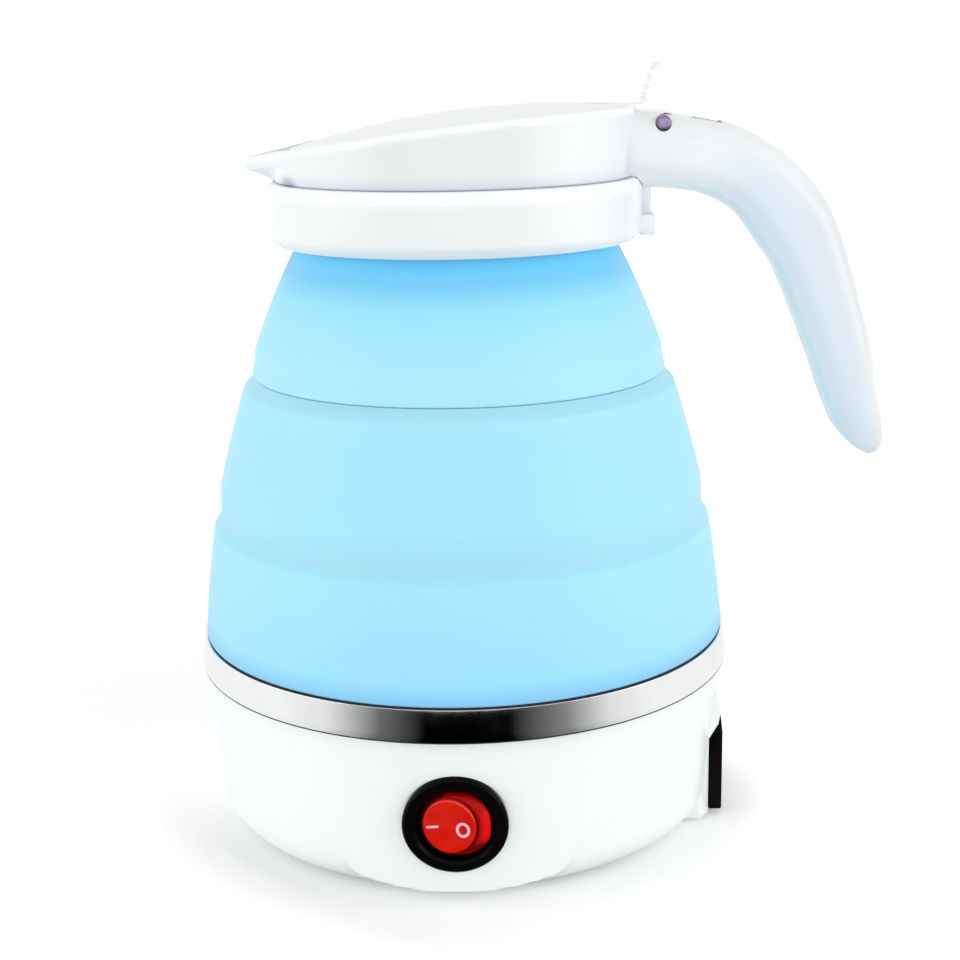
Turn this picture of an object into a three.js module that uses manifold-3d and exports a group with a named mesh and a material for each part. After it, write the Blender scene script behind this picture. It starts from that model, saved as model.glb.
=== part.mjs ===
// Collapsible travel kettle, millimetres, +Z up.
// The origin lies on the kettle's axis, on the table. The switch faces -Y, the handle +X, the spout -X.

import * as THREE from 'three';
import { mergeVertices } from 'three/addons/utils/BufferGeometryUtils.js';
import Module from 'manifold-3d';

const wasm = await Module();
wasm.setup();

// Fits, shared by every piece
const clearance = 0.3;
const overrun = 2;
const roundSteps = 36;
const smallSteps = 12;

// Base housing, a bowl with a rounded lower edge
const baseHeight = 38;
const baseTopRadius = 61.5;
const baseDraft = 1.4;
const baseRoundWidth = 7.9;
const baseRoundHeight = 9;
const baseWall = 2.4;
const baseFootWidth = 1.7;
const shelfRise = 0.6;
const shelfWidth = 6.2;

// Bottom cover, its feet and its screws
const coverThickness = 2;
const coverRecessRadius = 20;
const coverRecessDepth = 0.2;
const footProud = 1;
const footRadius = 5;
const footSeatDepth = 1;
const footInset = 10.2;
const footCount = 4;
const coverScrewCount = 3;
const coverScrewInset = 6.2;
const coverScrewAngle = 60;
const coverBossRadius = 5;
const coverBossRise = 1.5;
const screwHeadRadius = 3;
const screwHeadHeight = 1.4;
const screwShankRadius = 1.5;
const screwShankLength = 9;
const postRadius = 3.6;
const postHeight = 11;
const postWeb = 2.2;

// Steel trim ring
const ringHeight = 7.5;
const ringLowWall = 1.7;
const ringTopWall = 0.7;
const ringEdge = 0.35;

// Heating pan with its rolled rim and studs
const panWall = 0.8;
const panDepth = 7;
const panCorner = 1.2;
const studCount = 3;
const studAngle = 30;
const studInset = 5;
const studRadius = 2;
const studLength = 7;

// Heat spreader, heating tube and the parts on them
const spreaderInset = 11;
const spreaderThickness = 2.5;
const elementInset = 8;
const elementRadius = 3.3;
const elementSpread = 300;
const elementPinRadius = 1.5;
const elementPinLength = 5.4;
const thermostatRadius = 8.2;
const thermostatHeight = 8;
const thermostatFlangeRadius = 11;
const thermostatFlange = 1.3;
const fuseRadius = 2.2;
const fuseLength = 14;
const fuseGap = 9;

// Retainer ring that pulls the pan down, and its nuts
const retainerGap = 1.5;
const retainerThickness = 1.8;
const nutRadius = 4;
const nutHeight = 2.3;

// Rocker switch in a panel hole
const switchHeight = 18.6;
const switchSeatDepth = 1;
const bezelRadius = 11.5;
const bezelThickness = 2;
const bezelEdge = 0.7;
const barrelRadius = 9.9;
const barrelLength = 14;
const pocketRadius = 8.6;
const pocketDepth = 7.5;
const rockerRadius = 7.9;
const rockerHalfHeight = 6.7;
const rockerHalfLength = 7.3;
const rockerFaceCentre = 1.6;
const rockerFaceEnd = 2.9;
const rockerFootDepth = 3.2;
const rockerFootShare = 0.6;
const rockerPivotDepth = 2.6;
const rockerTilt = 11;
const bladeWidth = 4.8;
const bladeThickness = 0.8;
const bladeLength = 7;
const bladePitch = 5.5;

// Pad behind the switch, which carries the wall straight down
const padProud = 0.8;
const padDepth = 4;
const padTop = 26;
const padBottom = 2.6;
const padTopWidth = 54;
const padBottomWidth = 38;

// Mains inlet with three flat pins
const inletHeight = 11.8;
const inletFlangeWidth = 31.2;
const inletFlangeHeight = 22.6;
const inletFlangeThickness = 3.2;
const inletFlangeCorner = 4.2;
const inletProud = 1.8;
const inletCavityWidth = 24;
const inletCavityHeight = 16.4;
const inletCavityDepth = 16.5;
const inletCavityCorner = 4;
const inletShell = 1.1;
const inletBack = 4;
const inletBossSide = 1;
const pinWidth = 2;
const pinHeight = 4;
const pinPitch = 14;
const pinLine = 2;
const pinRecess = 1.8;
const pinTail = 6;

// Wires inside the base
const wireRadius = 1.2;
const wireDip = 3;

// Silicone tiers and the thin folds between them
const siliconeWall = 1.8;
const foldWall = 1.2;
const foldOuterShares = [[0, 0], [0.16, 0.3], [0.38, 0.62], [0.75, 0.78], [1, 1]];
const foldInnerShares = [[0, 0], [0.38, 0.62], [1, 1]];
const lowerTaper = 3.2;
const lowerHeight = 25.2;
const lowerBulge = 0.25;
const beadHeight = 4;
const lowerFoldHeight = 10;
const lowerFoldStep = 2;
const middleTaper = 6.3;
const middleHeight = 22.5;
const middleBulge = 0.2;
const upperFoldHeight = 9.5;
const upperFoldStep = 3.3;
const upperTaper = 10.5;
const upperHeight = 23.7;
const upperBulge = 0.5;
const neckBeadWidth = 2.9;
const neckBeadHeight = 3.2;

// Collar round the silicone neck, with the keeper for the latch tongue
const collarHeight = 13.8;
const collarWall = 3;
const collarLip = 2.7;
const collarLowEdge = 2.4;
const collarTopEdge = 2.2;
const keeperThickness = 2.9;
const keeperWidth = 14;
const keeperHeight = 4.6;
const keeperRise = 0.9;

// Top housing with its swept rim
const housingInset = 2.1;
const housingFlare = 0.3;
const housingWall = 2.7;
const rimHeight = 15.5;
const rimDrop = 10.6;
const rimSweepPower = 1.85;
const rimEdge = 1.3;
const seatDepth = 2.7;
const seatWidth = 1.8;
const seatThickness = 1.6;
const mouthInset = 4.8;

// Spout, a beak on the front of the top housing
const spoutOverhang = 8.4;
const spoutRootInset = 8;
const spoutHalfWidth = 21;
const spoutKeelOverhang = 0.9;
const spoutKeelHalfWidth = 10;
const spoutTipHalfWidth = 1.3;
const spoutLip = 3;
const spoutLipSlope = 1.4;
const spoutWall = 1.6;
const spoutFloor = 0.7;
const spoutBendShare = 0.5;
const spoutBendWidthShare = 0.54;
const keelBendShare = 0.62;
const keelBendWidthShare = 0.66;

// Lid with its lever and thumb tab
const lidCrown = 2;
const lidDraft = 0.9;
const lidFlush = 0.2;
const leverWidth = 10.6;
const leverInset = 7;
const leverThickness = 3;
const hingeOffset = 6.8;
const hingeDrop = 4;
const hingeBoss = 4.2;
const hingePinRadius = 2;
const hingePinLength = 18.2;
const hingePinRecess = 3.2;
const tabHeight = 13.2;
const tabFront = 5;
const tabBack = 9.2;
const tabFrontShares = [[1, 0.33], [0.88, 0.52], [0.5, 0.92], [0.24, 0.99]];
const tabBackShares = [[0.03, 1], [0.24, 0.94], [0.45, 0.82], [0.7, 0.61], [0.92, 0.38], [1, 0.27]];

// Handle, a curved bar whose outer and inner lines are shares of its reach and drop
const handleRootGap = 2.3;
const handleReach = 56.3;
const handleDrop = 81;
const handleTopDrop = 0.5;
const handleHalfWidth = 10.5;
const handleRoundness = 3;
const handleSteps = 16;
const handleSections = 16;
const handleWall = 2.5;
const outerLineShares = [
  [-0.094, -0.002], [0.155, 0.02], [0.341, 0.047], [0.51, 0.106], [0.661, 0.196], [0.782, 0.332],
  [0.922, 0.644], [0.959, 0.801], [0.995, 0.916], [0.989, 0.978], [0.961, 0.998],
];
const innerLineShares = [
  [-0.094, 0.217], [0.119, 0.226], [0.252, 0.247], [0.364, 0.294], [0.453, 0.378], [0.535, 0.465],
  [0.668, 0.689], [0.73, 0.81], [0.794, 0.912], [0.869, 0.97], [0.932, 0.998],
];
const handleWidthShares = [1, 1, 0.98, 0.95, 0.92, 0.9, 0.86, 0.82, 0.74, 0.52, 0.2];
const hollowShares = [0.27, 0.79];
const coverShares = [0.28, 0.78];
const slotWidth = 11.4;
const slotReach = 13.4;
const slotDepth = 11.6;
const tongueThickness = 1.6;
const tongueWidth = 10;
const tongueLength = 10;
const handleScrewPitch = 12;
const handleScrewHeight = 5;

// Radii and reaches, from the base outwards and up
const baseLowRadius = baseTopRadius - baseDraft;
const baseBottomRadius = baseLowRadius - baseRoundWidth;
const baseInnerTop = baseTopRadius - baseWall;
const baseInnerLow = baseLowRadius - baseWall;
const coverBore = baseBottomRadius - baseFootWidth;
const coverRadius = coverBore - clearance;
const footCircleRadius = coverRadius - footInset;
const coverScrewCircleRadius = coverRadius - coverScrewInset;
const padRadius = baseLowRadius + padProud;
const inletFace = baseLowRadius + inletProud;
const shelfBore = baseTopRadius - shelfWidth;
const panRadius = shelfBore - clearance;
const studCircleRadius = panRadius - studInset;
const spreaderRadius = panRadius - spreaderInset;
const elementCircleRadius = spreaderRadius - elementInset;
const fuseOffset = thermostatFlangeRadius + fuseGap;
const ringBore = baseTopRadius + clearance;
const ringLowRadius = ringBore + ringLowWall;
const ringTopRadius = ringBore + ringTopWall;
const neckedRadius = baseTopRadius - clearance;
const neckInner = neckedRadius - siliconeWall;
const panRimRadius = neckInner - clearance;
const lowerBottomRadius = ringTopRadius - clearance;
const lowerTopRadius = lowerBottomRadius - lowerTaper;
const middleBottomRadius = lowerTopRadius - lowerFoldStep;
const middleTopRadius = middleBottomRadius - middleTaper;
const upperBottomRadius = middleTopRadius - upperFoldStep;
const upperTopRadius = upperBottomRadius - upperTaper;
const neckBeadRadius = upperTopRadius + neckBeadWidth;
const collarBore = neckBeadRadius + clearance;
const collarRadius = collarBore + collarWall;
const keeperReach = collarRadius + keeperThickness;
const housingRadius = collarRadius - housingInset;
const housingBore = housingRadius - housingWall;
const rimRadius = housingRadius + housingFlare;
const mouthRadius = housingRadius - mouthInset;
const seatRadius = mouthRadius + seatWidth;
const skirtRadius = collarBore - clearance;
const spoutReach = housingRadius + spoutOverhang;
const spoutRootOffset = housingRadius - spoutRootInset;
const spoutKeelReach = housingRadius + spoutKeelOverhang;
const hingeReach = housingRadius + hingeOffset;
const leverRoot = housingRadius - leverInset;
const handleRoot = housingRadius + handleRootGap;

// Levels, from the table up
const bottomZ = footProud;
const coverTopZ = bottomZ + coverThickness;
const ringLowZ = bottomZ + baseHeight;
const ringTopZ = ringLowZ + ringHeight;
const shelfZ = ringLowZ + shelfRise;
const shelfUnderZ = shelfZ - baseWall;
const beadZ = shelfZ + clearance;
const panRimZ = beadZ + beadHeight + clearance;
const panTopZ = panRimZ + panWall;
const panFloorZ = panTopZ - panDepth;
const spreaderTopZ = panFloorZ - clearance;
const spreaderUnderZ = spreaderTopZ - spreaderThickness;
const hangingZ = spreaderUnderZ - clearance;
const retainerTopZ = shelfUnderZ - clearance;
const lowerZ = ringTopZ + clearance;
const lowerTopZ = lowerZ + lowerHeight;
const middleZ = lowerTopZ + lowerFoldHeight;
const middleTopZ = middleZ + middleHeight;
const upperZ = middleTopZ + upperFoldHeight;
const upperTopZ = upperZ + upperHeight;
const collarZ = upperTopZ + clearance;
const collarTopZ = collarZ + collarHeight;
const lipTopZ = collarZ + collarLip;
const neckBeadZ = lipTopZ + clearance;
const skirtZ = neckBeadZ + neckBeadHeight + clearance;
const housingZ = collarTopZ + clearance;
const rimZ = housingZ + rimHeight;
const hingeZ = rimZ - hingeDrop;

// Solid helpers
function solidOf(geometry) {
  const bare = geometry.clone();
  bare.deleteAttribute('normal');
  bare.deleteAttribute('uv');
  const merged = mergeVertices(bare);
  const corners = merged.index.array;
  const kept = [];
  for (let i = 0; i < corners.length; i += 3) {
    const [a, b, c] = corners.slice(i, i + 3);
    if (a !== b && b !== c && c !== a) {
      kept.push(a, b, c);
    }
  }
  const vertProperties = new Float32Array(merged.attributes.position.array);
  const build = (triVerts) => new wasm.Manifold(new wasm.Mesh({ numProp: 3, vertProperties, triVerts }));
  const solid = build(new Uint32Array(kept));
  if (solid.volume() > 0) {
    return solid;
  }
  return build(new Uint32Array(kept).reverse());
}

function geometryOf(solid) {
  const mesh = solid.getMesh();
  const geometry = new THREE.BufferGeometry();
  geometry.setAttribute('position', new THREE.BufferAttribute(mesh.vertProperties, 3));
  geometry.setIndex(new THREE.BufferAttribute(mesh.triVerts, 1));
  geometry.computeVertexNormals();
  return geometry;
}

// A closed profile of [radius, height] points turned about Z, or about the line through a place
function turned(profile, steps = roundSteps) {
  const points = profile.map(([r, z]) => new THREE.Vector2(r, z));
  const onAxis = profile[0][0] === 0 && profile[profile.length - 1][0] === 0;
  if (!onAxis) {
    points.push(points[0].clone());
  }
  const geometry = new THREE.LatheGeometry(points, steps);
  geometry.rotateX(Math.PI / 2);
  return geometry;
}

function disc(radius, lowZ, topZ, steps = smallSteps) {
  const geometry = new THREE.CylinderGeometry(radius, radius, topZ - lowZ, steps);
  geometry.rotateX(Math.PI / 2);
  geometry.translate(0, 0, (lowZ + topZ) / 2);
  return geometry;
}

function block(x, y, z) {
  const geometry = new THREE.BoxGeometry(x[1] - x[0], y[1] - y[0], z[1] - z[0]);
  geometry.translate((x[0] + x[1]) / 2, (y[0] + y[1]) / 2, (z[0] + z[1]) / 2);
  return geometry;
}

// An outline of [x, z] points drawn out along Y, centred on the plane y = 0
function sideProfile(outline, width) {
  const shape = new THREE.Shape(outline.map(([x, z]) => new THREE.Vector2(x, z)));
  const geometry = new THREE.ExtrudeGeometry(shape, { depth: width, bevelEnabled: false });
  geometry.rotateX(Math.PI / 2);
  geometry.translate(0, width / 2, 0);
  return geometry;
}

// Rings of equal point counts joined into one closed skin
function loft(rings) {
  const count = rings[0].length;
  const positions = rings.flat().flatMap((p) => [p.x, p.y, p.z]);
  const index = [];
  for (let i = 0; i < rings.length - 1; i += 1) {
    for (let j = 0; j < count; j += 1) {
      const a = i * count + j;
      const b = i * count + ((j + 1) % count);
      index.push(a, b, b + count, a, b + count, a + count);
    }
  }
  const last = (rings.length - 1) * count;
  for (let j = 1; j < count - 1; j += 1) {
    index.push(0, j + 1, j);
    index.push(last, last + j, last + j + 1);
  }
  const geometry = new THREE.BufferGeometry();
  geometry.setAttribute('position', new THREE.Float32BufferAttribute(positions, 3));
  geometry.setIndex(index);
  return geometry;
}

function circleSection(radius, sides) {
  const shape = new THREE.Shape();
  for (let i = 0; i < sides; i += 1) {
    const angle = (i / sides) * 2 * Math.PI;
    const point = [radius * Math.cos(angle), radius * Math.sin(angle)];
    if (i === 0) {
      shape.moveTo(...point);
    } else {
      shape.lineTo(...point);
    }
  }
  shape.closePath();
  return shape;
}

function tubeAlong(curve, radius, sides, steps) {
  const options = { steps, bevelEnabled: false, extrudePath: curve };
  return new THREE.ExtrudeGeometry(circleSection(radius, sides), options);
}

function polar(circle, degrees) {
  const angle = THREE.MathUtils.degToRad(degrees);
  return [circle * Math.cos(angle), circle * Math.sin(angle)];
}

// Materials
const looks = {
  white: { color: 0xf4f6f6, roughness: 0.28, metalness: 0 },
  silicone: { color: 0x8fd3f5, roughness: 0.5, metalness: 0 },
  chrome: { color: 0xd6d8da, roughness: 0.12, metalness: 1 },
  steel: { color: 0xb8babc, roughness: 0.3, metalness: 1 },
  aluminium: { color: 0xa9abad, roughness: 0.4, metalness: 1 },
  brass: { color: 0xc8a24a, roughness: 0.35, metalness: 1 },
  black: { color: 0x15141a, roughness: 0.4, metalness: 0 },
  rubber: { color: 0x33363a, roughness: 0.85, metalness: 0 },
  red: { color: 0xd01008, roughness: 0.25, metalness: 0 },
  wire: { color: 0x3d4a8a, roughness: 0.6, metalness: 0 },
};

const kettle = new THREE.Group();

function addPiece(name, solid, look, parent = kettle) {
  const mesh = new THREE.Mesh(geometryOf(solid), new THREE.MeshStandardMaterial(looks[look]));
  mesh.name = name;
  parent.add(mesh);
  return mesh;
}

// Base housing
const baseEdge = [0, 30, 60, 90].map((degrees) => {
  const angle = THREE.MathUtils.degToRad(degrees);
  const r = baseBottomRadius + (baseLowRadius - baseBottomRadius) * Math.sin(angle);
  return [r, bottomZ + baseRoundHeight * (1 - Math.cos(angle))];
});
let baseShell = solidOf(turned([
  [coverBore, bottomZ],
  ...baseEdge,
  [baseTopRadius, ringLowZ],
  [baseTopRadius, shelfZ],
  [shelfBore, shelfZ],
  [shelfBore, shelfUnderZ],
  [baseInnerTop, shelfUnderZ],
  [baseInnerLow, bottomZ + baseRoundHeight],
  [baseBottomRadius, bottomZ + baseWall],
  [coverBore, bottomZ + baseWall],
]));

const postZ = coverTopZ + coverBossRise + clearance;
const coverScrewPlaces = [];
for (let i = 0; i < coverScrewCount; i += 1) {
  coverScrewPlaces.push(coverScrewAngle + (i * 360) / coverScrewCount);
}
for (const degrees of coverScrewPlaces) {
  const [x, y] = polar(coverScrewCircleRadius, degrees);
  const post = disc(postRadius, postZ, postZ + postHeight);
  post.translate(x, y, 0);
  const web = block([coverScrewCircleRadius, baseInnerLow + baseWall / 2], [-postWeb / 2, postWeb / 2],
    [postZ + baseWall, postZ + postHeight]);
  web.rotateZ(THREE.MathUtils.degToRad(degrees));
  const pilot = disc(screwShankRadius + clearance, postZ - overrun, postZ + screwShankLength);
  pilot.translate(x, y, 0);
  baseShell = baseShell.add(solidOf(post)).add(solidOf(web)).subtract(solidOf(pilot));
}

const switchZ = bottomZ + switchHeight;
const padLowZ = bottomZ + padBottom;
const padHighZ = bottomZ + padTop;
const padBand = turned([
  [padRadius - padDepth, padLowZ],
  [padRadius, padLowZ],
  [padRadius, padHighZ],
  [padRadius - padDepth, padHighZ],
], 2 * roundSteps);
const padFront = sideProfile([
  [-padBottomWidth / 2, padLowZ - overrun],
  [padBottomWidth / 2, padLowZ - overrun],
  [padTopWidth / 2, padHighZ + overrun],
  [-padTopWidth / 2, padHighZ + overrun],
], padRadius);
padFront.translate(0, -padRadius, 0);
baseShell = baseShell.add(solidOf(padBand).intersect(solidOf(padFront)));

// A disc whose axis runs along Y, through the switch's centre
function frontDisc(radius, frontY, backY, steps) {
  const geometry = disc(radius, 0, backY - frontY, steps);
  geometry.rotateX(-Math.PI / 2);
  geometry.translate(0, frontY, switchZ);
  return geometry;
}

const seatY = switchSeatDepth - padRadius;
baseShell = baseShell
  .subtract(solidOf(frontDisc(bezelRadius + clearance, seatY - overrun * 2, seatY, 2 * smallSteps)))
  .subtract(solidOf(frontDisc(barrelRadius + clearance, seatY - overrun, seatY + barrelLength, 2 * smallSteps)));

const inletZ = bottomZ + inletHeight;
const flangeBackX = inletFace - inletFlangeThickness;
const inletSeatX = flangeBackX - clearance;
const inletLowZ = inletZ - inletFlangeHeight / 2;
const inletHighZ = inletZ + inletFlangeHeight / 2;
const bossHalf = inletFlangeWidth / 2 + inletBossSide;
const inletBoss = block([baseInnerLow - baseWall * 3, inletSeatX], [-bossHalf, bossHalf], [bottomZ, inletHighZ]);
const inletPocket = block([inletSeatX, inletFace + overrun * 2],
  [-inletFlangeWidth / 2 - clearance, inletFlangeWidth / 2 + clearance],
  [bottomZ - overrun, inletHighZ + clearance]);

// Outline of the inlet in the YZ plane, with its two upper corners cut off
function inletOutline(width, height, corner, lowX, highX) {
  const half = width / 2;
  const rise = height / 2;
  const shape = new THREE.Shape([
    new THREE.Vector2(-half, -rise),
    new THREE.Vector2(half, -rise),
    new THREE.Vector2(half, rise - corner * 0.6),
    new THREE.Vector2(half - corner, rise),
    new THREE.Vector2(-half + corner, rise),
    new THREE.Vector2(-half, rise - corner * 0.6),
  ]);
  const geometry = new THREE.ExtrudeGeometry(shape, { depth: highX - lowX, bevelEnabled: false });
  geometry.rotateX(Math.PI / 2);
  geometry.rotateZ(Math.PI / 2);
  geometry.translate(lowX, 0, inletZ);
  return geometry;
}

const inletBackX = inletFace - inletCavityDepth - inletBack;
const inletBodyWidth = inletCavityWidth + 2 * inletShell;
const inletBodyHeight = inletCavityHeight + 2 * inletShell;
const inletHole = inletOutline(inletBodyWidth + 2 * clearance, inletBodyHeight + 2 * clearance,
  inletCavityCorner, inletBackX - overrun, inletFace + overrun);
baseShell = baseShell
  .add(solidOf(inletBoss))
  .subtract(solidOf(inletPocket))
  .subtract(solidOf(inletHole));
addPiece('base_housing', baseShell, 'white');

// Bottom cover with foot seats and screw bosses
let cover = solidOf(disc(coverRadius, bottomZ, coverTopZ, roundSteps))
  .subtract(solidOf(disc(coverRecessRadius, bottomZ - overrun, bottomZ + coverRecessDepth, 2 * smallSteps)));
const headSeatZ = coverTopZ + coverBossRise - screwHeadHeight;
for (const degrees of coverScrewPlaces) {
  const [x, y] = polar(coverScrewCircleRadius, degrees);
  const boss = disc(coverBossRadius, bottomZ + coverThickness / 2, coverTopZ + coverBossRise);
  const sink = disc(screwHeadRadius + clearance, bottomZ - overrun, headSeatZ);
  const hole = disc(screwShankRadius + clearance, bottomZ, postZ);
  const screw = disc(screwHeadRadius, headSeatZ - clearance - screwHeadHeight, headSeatZ - clearance);
  const shank = disc(screwShankRadius, headSeatZ - clearance * 2, postZ + screwShankLength - overrun);
  for (const piece of [boss, sink, hole, screw, shank]) {
    piece.translate(x, y, 0);
  }
  cover = cover.add(solidOf(boss)).subtract(solidOf(sink)).subtract(solidOf(hole));
  const number = coverScrewPlaces.indexOf(degrees) + 1;
  addPiece(`cover_screw_${number}`, solidOf(screw).add(solidOf(shank)), 'steel');
}
for (let i = 0; i < footCount; i += 1) {
  const [x, y] = polar(footCircleRadius, ((i + 1 / 2) * 360) / footCount);
  const seat = disc(footRadius + clearance, bottomZ - overrun, bottomZ + footSeatDepth, smallSteps + 4);
  const foot = disc(footRadius, 0, bottomZ + footSeatDepth - clearance, smallSteps + 4);
  seat.translate(x, y, 0);
  foot.translate(x, y, 0);
  cover = cover.subtract(solidOf(seat));
  addPiece(`foot_${i + 1}`, solidOf(foot), 'rubber');
}
addPiece('bottom_cover', cover, 'white');

// Trim ring
addPiece('trim_ring', solidOf(turned([
  [ringBore, ringLowZ],
  [ringLowRadius - ringEdge, ringLowZ],
  [ringLowRadius, ringLowZ + ringEdge],
  [ringTopRadius, ringTopZ - ringEdge],
  [ringTopRadius - ringEdge, ringTopZ],
  [ringBore, ringTopZ],
])), 'chrome');

// Heating pan
const panInner = panRadius - panWall;
let pan = solidOf(turned([
  [0, panFloorZ],
  [panRadius - panCorner, panFloorZ],
  [panRadius, panFloorZ + panCorner],
  [panRadius, panRimZ],
  [panRimRadius, panRimZ],
  [panRimRadius, panTopZ],
  [panInner, panTopZ],
  [panInner, panFloorZ + panWall + panCorner],
  [panInner - panCorner, panFloorZ + panWall],
  [0, panFloorZ + panWall],
]));
const retainerRadius = baseInnerTop - clearance * 3;
const retainerBore = spreaderRadius + retainerGap;
let retainer = solidOf(turned([
  [retainerBore, retainerTopZ - retainerThickness],
  [retainerRadius, retainerTopZ - retainerThickness],
  [retainerRadius, retainerTopZ],
  [retainerBore, retainerTopZ],
]));
const nutTopZ = retainerTopZ - retainerThickness - clearance;
for (let i = 0; i < studCount; i += 1) {
  const [x, y] = polar(studCircleRadius, studAngle + (i * 360) / studCount);
  const stud = disc(studRadius, panFloorZ - studLength, panFloorZ + panWall / 2);
  const hole = disc(studRadius + clearance, panFloorZ - studLength - overrun, panFloorZ);
  const nut = disc(nutRadius, nutTopZ - nutHeight, nutTopZ, 6);
  for (const piece of [stud, hole, nut]) {
    piece.translate(x, y, 0);
  }
  pan = pan.add(solidOf(stud));
  retainer = retainer.subtract(solidOf(hole));
  addPiece(`pan_nut_${i + 1}`, solidOf(nut).subtract(solidOf(hole)), 'steel');
}
addPiece('heating_pan', pan, 'steel');
addPiece('pan_retainer', retainer, 'steel');

// Heat spreader, heating tube with its end pins, thermostat and fuse
addPiece('heat_spreader', solidOf(disc(spreaderRadius, spreaderUnderZ, spreaderTopZ, roundSteps)), 'aluminium');
const elementZ = hangingZ - elementRadius;
const elementPoints = [];
const elementSteps = 20;
for (let i = 0; i <= elementSteps; i += 1) {
  const degrees = (360 - elementSpread) / 2 + (i / elementSteps) * elementSpread;
  const [x, y] = polar(elementCircleRadius, degrees);
  elementPoints.push(new THREE.Vector3(x, y, elementZ));
}
const elementPath = new THREE.CatmullRomCurve3(elementPoints);
addPiece('heating_tube', solidOf(tubeAlong(elementPath, elementRadius, 8, elementSteps)), 'steel');
const pinTopZ = elementZ - elementRadius - clearance;
const elementEnds = [elementPoints[1], elementPoints[elementSteps - 1]];
elementEnds.forEach((end, i) => {
  const pin = disc(elementPinRadius, pinTopZ - elementPinLength, pinTopZ, 8);
  pin.translate(end.x, end.y, 0);
  addPiece(`heating_tube_pin_${i + 1}`, solidOf(pin), 'brass');
});
addPiece('thermostat', solidOf(turned([
  [0, hangingZ - thermostatHeight],
  [thermostatRadius, hangingZ - thermostatHeight],
  [thermostatRadius, hangingZ - thermostatFlange],
  [thermostatFlangeRadius, hangingZ - thermostatFlange],
  [thermostatFlangeRadius, hangingZ],
  [0, hangingZ],
], 2 * smallSteps)), 'black');
const fuse = disc(fuseRadius, -fuseLength / 2, fuseLength / 2, 8);
fuse.rotateZ(Math.PI / 8);
fuse.rotateX(Math.PI / 2);
fuse.translate(-fuseOffset, 0, hangingZ - fuseRadius);
addPiece('thermal_fuse', solidOf(fuse), 'steel');

// Rocker switch: bezel with its barrel, blades, and the rocker tipped to its left side
const bezelBackY = seatY - clearance;
const bezelFrontY = bezelBackY - bezelThickness;
const bezelProfile = turned([
  [0, -barrelLength],
  [barrelRadius, -barrelLength],
  [barrelRadius, 0],
  [bezelRadius, 0],
  [bezelRadius, bezelThickness - bezelEdge],
  [bezelRadius - bezelEdge, bezelThickness],
  [0, bezelThickness],
], 2 * smallSteps);
bezelProfile.rotateX(Math.PI / 2);
bezelProfile.translate(0, bezelBackY, switchZ);
const pocket = frontDisc(pocketRadius, bezelFrontY - overrun, bezelFrontY + pocketDepth, 2 * smallSteps);
addPiece('switch_body', solidOf(bezelProfile).subtract(solidOf(pocket)), 'black');
const bladeFrontY = bezelBackY + barrelLength + clearance;
const bladeShares = [-1, 0, 1];
bladeShares.forEach((share, i) => {
  const x = share * bladePitch;
  addPiece(`switch_blade_${i + 1}`, solidOf(block([x - bladeThickness / 2, x + bladeThickness / 2],
    [bladeFrontY, bladeFrontY + bladeLength], [switchZ - bladeWidth / 2, switchZ + bladeWidth / 2])), 'brass');
});

const rockerFoot = rockerHalfLength * rockerFootShare;
const rockerShape = new THREE.Shape([
  new THREE.Vector2(-rockerFoot, -rockerFootDepth),
  new THREE.Vector2(rockerFoot, -rockerFootDepth),
  new THREE.Vector2(rockerHalfLength, 0),
  new THREE.Vector2(rockerHalfLength, rockerFaceEnd),
  new THREE.Vector2(0, rockerFaceCentre),
  new THREE.Vector2(-rockerHalfLength, rockerFaceEnd),
  new THREE.Vector2(-rockerHalfLength, 0),
]);
const rockerBar = new THREE.ExtrudeGeometry(rockerShape, { depth: 2 * rockerHalfHeight, bevelEnabled: false });
rockerBar.translate(0, 0, -rockerHalfHeight);
rockerBar.rotateX(Math.PI);
const rockerRound = disc(rockerRadius, -rockerFaceEnd - overrun, rockerFootDepth + overrun, 2 * smallSteps);
rockerRound.rotateX(-Math.PI / 2);
const rockerGeometry = geometryOf(solidOf(rockerBar).intersect(solidOf(rockerRound)));
const rocker = new THREE.Mesh(rockerGeometry, new THREE.MeshStandardMaterial(looks.red));
rocker.name = 'rocker';
rocker.position.set(0, bezelFrontY + rockerPivotDepth, switchZ);
rocker.rotation.z = THREE.MathUtils.degToRad(-rockerTilt);
kettle.add(rocker);

// Mains inlet and its pins
const inletFlange = inletOutline(inletFlangeWidth, inletFlangeHeight, inletFlangeCorner, flangeBackX, inletFace);
const inletBody = inletOutline(inletBodyWidth, inletBodyHeight, inletCavityCorner, inletBackX, flangeBackX + clearance);
const inletCavity = inletOutline(inletCavityWidth, inletCavityHeight, inletCavityCorner,
  inletFace - inletCavityDepth, inletFace + overrun);
let inlet = solidOf(inletFlange).add(solidOf(inletBody)).subtract(solidOf(inletCavity));
const pinPlaces = [
  ['live', -pinPitch / 2, inletZ - pinLine],
  ['neutral', pinPitch / 2, inletZ - pinLine],
  ['earth', 0, inletZ + pinLine],
];
const pinRearX = inletBackX - pinTail;
for (const [name, y, z] of pinPlaces) {
  const around = (gap) => [
    [y - pinWidth / 2 - gap, y + pinWidth / 2 + gap],
    [z - pinHeight / 2 - gap, z + pinHeight / 2 + gap],
  ];
  inlet = inlet.subtract(solidOf(block([inletBackX - overrun, inletFace], ...around(clearance))));
  const pin = block([pinRearX, inletFace - pinRecess], ...around(0));
  addPiece(`inlet_pin_${name}`, solidOf(pin), 'brass');
}
addPiece('inlet_body', inlet, 'black');

// Wires
function addWire(name, points) {
  const path = new THREE.CatmullRomCurve3(points.map((p) => new THREE.Vector3(...p)));
  addPiece(name, solidOf(tubeAlong(path, wireRadius, 6, 9)), 'wire');
}

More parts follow.
